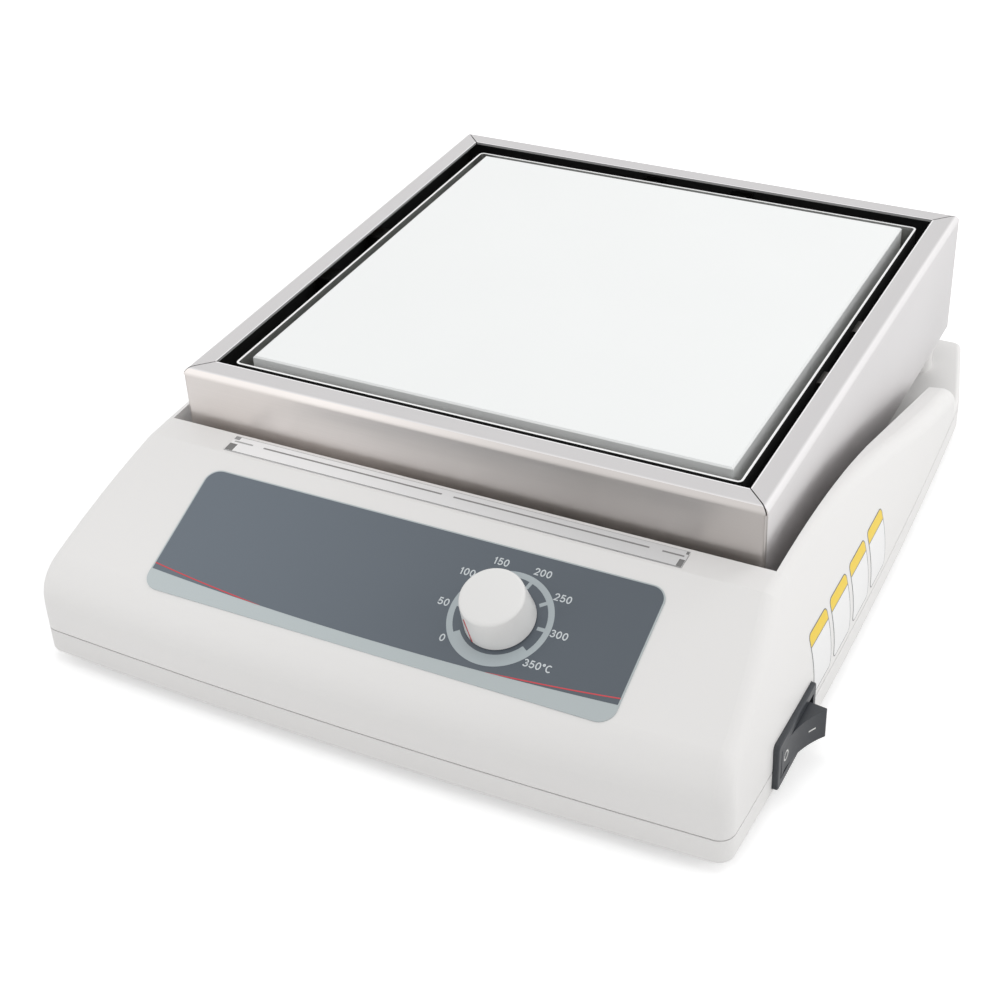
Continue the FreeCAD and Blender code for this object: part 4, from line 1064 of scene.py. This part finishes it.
def markPointer():
    place = panelPlace(dial["x"], dial["down"], -panelFilm["thickness"])
    ends = []
    for angle, radius, lift in (pointer["foot"], pointer["head"]):
        turn = math.radians(angle)
        ends.append(Vector((radius * math.cos(turn), radius * math.sin(turn), lift)))
    foot, head = ends
    up = (head - foot).normalized()
    middle = (head + foot) / 2
    outward = Vector((middle.x, middle.y, 0))
    outward = (outward - up * outward.dot(up)).normalized()
    axes = Matrix((outward, up.cross(outward), up)).transposed().to_4x4()
    edgeAside = -(pointer["width"] + pointer["edgeWidth"]) / 2
    for name, finish, width, aside in (
            ("pointerLine", "red", pointer["width"], 0),
            ("pointerEdge", "switch", pointer["edgeWidth"], edgeAside)):
        bar = centredBlock(2 * pointer["proud"], width, (head - foot).length)
        addModifier(bar, "BEVEL", width=pointer["bevel"], segments=2)
        moved = Matrix.Translation((0, aside, 0))
        bar.matrix_world = place @ Matrix.Translation(middle) @ axes @ moved
        finishPiece(bar, name, finishes[finish], "knob")


# Light bar: a thin pale cover over the window, with smoked blocks at its ends, lines of painted
# shade along its front edge and in its slots, and a faint line along its back edge.
# The cover has half its length, its front and back edges, and its lower and upper face.

lightBar = {
    "stripBack": (-110.7, -19.3),
    "fall": 0.6 / 10.8,
    "cover": (84.98, -120.2, -112.0, 0.02, 0.16),
    "coverBevel": 0.05,
    "blockHeight": 0.3,
    "blockLift": 0.04,
    "blockBevel": 0.08,
    "lineLift": 0.18,
    "blocks": {
        "lightBarEndFrontLeft": (-84.9, -81.9, -119.9, -116.1, "smoke"),
        "lightBarEndRearLeft": (-84.9, -82.7, -113.9, -112.1, "haze"),
        "lightBarEndFrontRight": (83.0, 84.9, -119.9, -116.4, "smoke"),
        "lightBarEndRearRight": (83.9, 84.9, -113.7, -112.3, "smoke"),
    },
    "lines": {
        # painted shade: the front edge and the slots are drawn as dark lines
        "lightBarShadeFront": (-84.9, 84.9, -120.18, -119.93, "line"),
        "lightBarLineBack": (-84.9, 84.9, -112.22, -112.02, "faintLine"),
        "lightBarShadeOuterLeft": (-83.9, -76.5, -115.16, -114.44, "faintLine"),
        "lightBarShadeLeft": (-72.1, -2.2, -115.16, -114.44, "line"),
        "lightBarShadeRight": (2.2, 72.1, -115.16, -114.44, "line"),
        "lightBarShadeOuterRight": (76.5, 83.9, -115.16, -114.44, "line"),
    },
}


def stripPlace(x, y, lift):
    # local Z stands on the falling strip at the top of the console
    z = lightBar["stripBack"][1] + (y - lightBar["stripBack"][0]) * lightBar["fall"] + lift
    tilt = Matrix.Rotation(math.atan(lightBar["fall"]), 4, "X")
    return Matrix.Translation(Vector((x, y, z)) * mm) @ tilt @ Matrix.Scale(mm, 4)


def closeLightBar():
    half, y0, y1, low, high = lightBar["cover"]
    cover = blockBetween((-half, (y0 - y1) / 2, low), (half, (y1 - y0) / 2, high))
    addModifier(cover, "BEVEL", width=lightBar["coverBevel"], segments=2)
    cover.matrix_world = stripPlace(0, (y0 + y1) / 2, 0)
    finishPiece(cover, "lightBarCover", finishes["window"], "base")
    for name, (x0, x1, y0, y1, finish) in lightBar["blocks"].items():
        block = centredBlock(x1 - x0, y1 - y0, lightBar["blockHeight"])
        addModifier(block, "BEVEL", width=lightBar["blockBevel"], segments=2)
        block.matrix_world = stripPlace((x0 + x1) / 2, (y0 + y1) / 2, lightBar["blockLift"])
        finishPiece(block, name, finishes[finish], "base")
    for name, (x0, x1, y0, y1, finish) in lightBar["lines"].items():
        width = (x1 - x0) / 2
        depth = (y1 - y0) / 2
        outline = [(width, depth), (-width, depth), (-width, -depth), (width, -depth)]
        place = stripPlace((x0 + x1) / 2, (y0 + y1) / 2, lightBar["lineLift"])
        flatPrintAndShade(name, [outline], place, finish)


# On and off marks printed on the rocker's curved face. They start a little off the face
# and are then pressed onto it.

rocker = {
    "pivot": (123.252, -130, -65.3),
    "turn": -105,
    "rise": 9.0,
    "dip": 2.6,
    "half": 12.6,
    "barAt": -6.6,
    "barSize": (3.0, 0.55),
    "ringAt": 8.0,
    "ringSize": (1.9, 1.35),
    "lift": 0.03,
    "startsOff": 0.4,
}


def rockerPlace(along):
    # local X runs along the rocker's hollow face, local Y up, local Z outwards
    radius = (rocker["half"] ** 2 + rocker["dip"] ** 2) / 2 / rocker["dip"]
    out = rocker["rise"] - rocker["dip"] + radius - math.sqrt(radius ** 2 - along ** 2)
    slope = math.asin(along / radius)
    ahead = Vector((math.cos(slope), math.sin(slope), 0))
    outward = Vector((-math.sin(slope), math.cos(slope), 0))
    turn = Matrix.Rotation(math.radians(rocker["turn"]), 3, "Z")
    place = turn @ Vector((along, out, 0)) + Vector(rocker["pivot"])
    axes = Matrix((turn @ -ahead, Vector((0, 0, 1)), turn @ outward)).transposed().to_4x4()
    return Matrix.Translation(place * mm) @ axes @ Matrix.Scale(mm, 4)


def wrapOnto(piece, node, offset):
    # press a finely cut flat piece onto a curved face along its own Z
    addModifier(piece, "SHRINKWRAP", target=nodes[node], wrap_method="PROJECT", use_project_z=True,
                use_positive_direction=True, use_negative_direction=True, offset=offset * mm)


def markRocker():
    lift = Matrix.Translation((0, 0, rocker["startsOff"]))
    deselectAll()
    bpy.ops.mesh.primitive_plane_add(size=1)
    bar = bpy.context.object
    bar.scale = (*rocker["barSize"], 1)
    applyPlace(bar)
    pick(bar)
    bpy.ops.object.mode_set(mode="EDIT")
    bpy.ops.mesh.select_all(action="SELECT")
    bpy.ops.mesh.subdivide(number_cuts=8)
    bpy.ops.object.mode_set(mode="OBJECT")
    bar.matrix_world = rockerPlace(rocker["barAt"]) @ lift
    wrapOnto(bar, "switch_rocker", rocker["lift"])
    finishPiece(bar, "onMark", finishes["mark"], "rocker")

    outer, inner = rocker["ringSize"]
    deselectAll()
    bpy.ops.mesh.primitive_circle_add(vertices=48, radius=outer, fill_type="NGON")
    ring = bpy.context.object
    selectFaces(ring, lambda centre, normal: True)
    bpy.ops.mesh.inset(thickness=outer - inner)
    bpy.ops.mesh.delete(type="FACE")
    bpy.ops.object.mode_set(mode="OBJECT")
    ring.matrix_world = rockerPlace(rocker["ringAt"]) @ lift
    wrapOnto(ring, "switch_rocker", rocker["lift"])
    finishPiece(ring, "offMark", finishes["mark"], "rocker")


# Four blank stickers on the right-hand side: a yellow head above a white field

stickers = {
    "startsAt": 131,
    "middles": (-103.1, -83.4, -63.4, -43.6),
    "grid": (14, 18),
    "width": 16.8,
    "low": -63.8,
    "high": -40.5,
    "head": 4.7,
    "corner": 2.2,
    "cornerSteps": 6,
    "edge": 0.38,
    "lift": 0.05,
    "thickness": 0.08,
    "finishes": ("stickerGrey", "stickerWhite", "stickerYellow"),
}
tiny = 1e-5  # smaller than this counts as nothing


def roundedOutline(halfWidth, halfHeight, radius):
    x, y = halfWidth - radius, halfHeight - radius
    outline = []
    for middleX, middleY, start in ((x, y, 0), (-x, y, 90), (-x, -y, 180), (x, -y, 270)):
        outline += arcPoints(middleX, middleY, radius, start, start + 90, stickers["cornerSteps"])
    return outline


def sidesOf(outline):
    return zip(outline, outline[1:] + outline[:1])


def cutAlong(outline, clear):
    # cut the selected sheet along each side of an outline
    for (x0, y0), (x1, y1) in sidesOf(outline):
        if math.hypot(x1 - x0, y1 - y0) > tiny:
            side = (y1 - y0, x0 - x1, 0)
            bpy.ops.mesh.select_all(action="SELECT")
            bpy.ops.mesh.bisect(plane_co=(x0, y0, 0), plane_no=side, clear_outer=clear)


def isWithin(outline, x, y):
    # the outline turns left all the way round
    return all((x1 - x0) * (y - y0) - (y1 - y0) * (x - x0) > -tiny
               for (x0, y0), (x1, y1) in sidesOf(outline))


def placeStickers():
    halfWidth = stickers["width"] / 2
    halfHeight = (stickers["high"] - stickers["low"]) / 2
    z = (stickers["high"] + stickers["low"]) / 2
    edge, radius = stickers["edge"], stickers["corner"]
    inside = roundedOutline(halfWidth - edge, halfHeight - edge, radius - edge)
    split = halfHeight - stickers["head"]
    bands = [[(-halfWidth, y), (halfWidth, y)] for y in (split - edge / 2, split + edge / 2)]
    axes = Matrix(((0, 0, 1), (1, 0, 0), (0, 1, 0))).to_4x4()
    border, field, headField = stickers["finishes"]
    across, upwards = stickers["grid"]
    for i, y in enumerate(stickers["middles"]):
        deselectAll()
        bpy.ops.mesh.primitive_grid_add(x_subdivisions=across, y_subdivisions=upwards, size=1)
        sheet = bpy.context.object
        sheet.scale = (2 * halfWidth, 2 * halfHeight, 1)
        applyPlace(sheet)
        pick(sheet)
        bpy.ops.object.mode_set(mode="EDIT")
        cutAlong(roundedOutline(halfWidth, halfHeight, radius), True)
        cutAlong(inside, False)
        for band in bands:
            cutAlong(band, False)
        bpy.ops.object.mode_set(mode="OBJECT")
        kinds = []
        for face in sheet.data.polygons:
            x, up = face.center.xy
            if not isWithin(inside, x, up) or abs(up - split) < edge / 2:
                kinds.append(border)
            else:
                kinds.append(field if up < split else headField)
        start = Vector((stickers["startsAt"], y, z)) * mm
        sheet.matrix_world = Matrix.Translation(start) @ axes @ Matrix.Scale(mm, 4)
        wrapOnto(sheet, "upper_housing", stickers["lift"])
        finishPiece(sheet, "sideSticker%d" % i, finishes[border], "base")
        sheet.data.materials.append(finishes[field])
        sheet.data.materials.append(finishes[headField])
        for face, kind in zip(sheet.data.polygons, kinds):
            face.material_index = stickers["finishes"].index(kind)
        addModifier(sheet, "SOLIDIFY", thickness=stickers["thickness"] * mm, offset=1)


setCamera()
setStudio()
print("camera and studio set")
dressNodes()
print("finishes on", len(nodes), "nodes")
foldFrame()
pressPan()
bendClips()
print("frame, pan and clips made")
printField()
printRedLines()
printDial()
print("panel printed")
turnKnob()
markPointer()
closeLightBar()
markRocker()
print("knob, light bar and rocker marked")
placeStickers()
print("stickers placed")
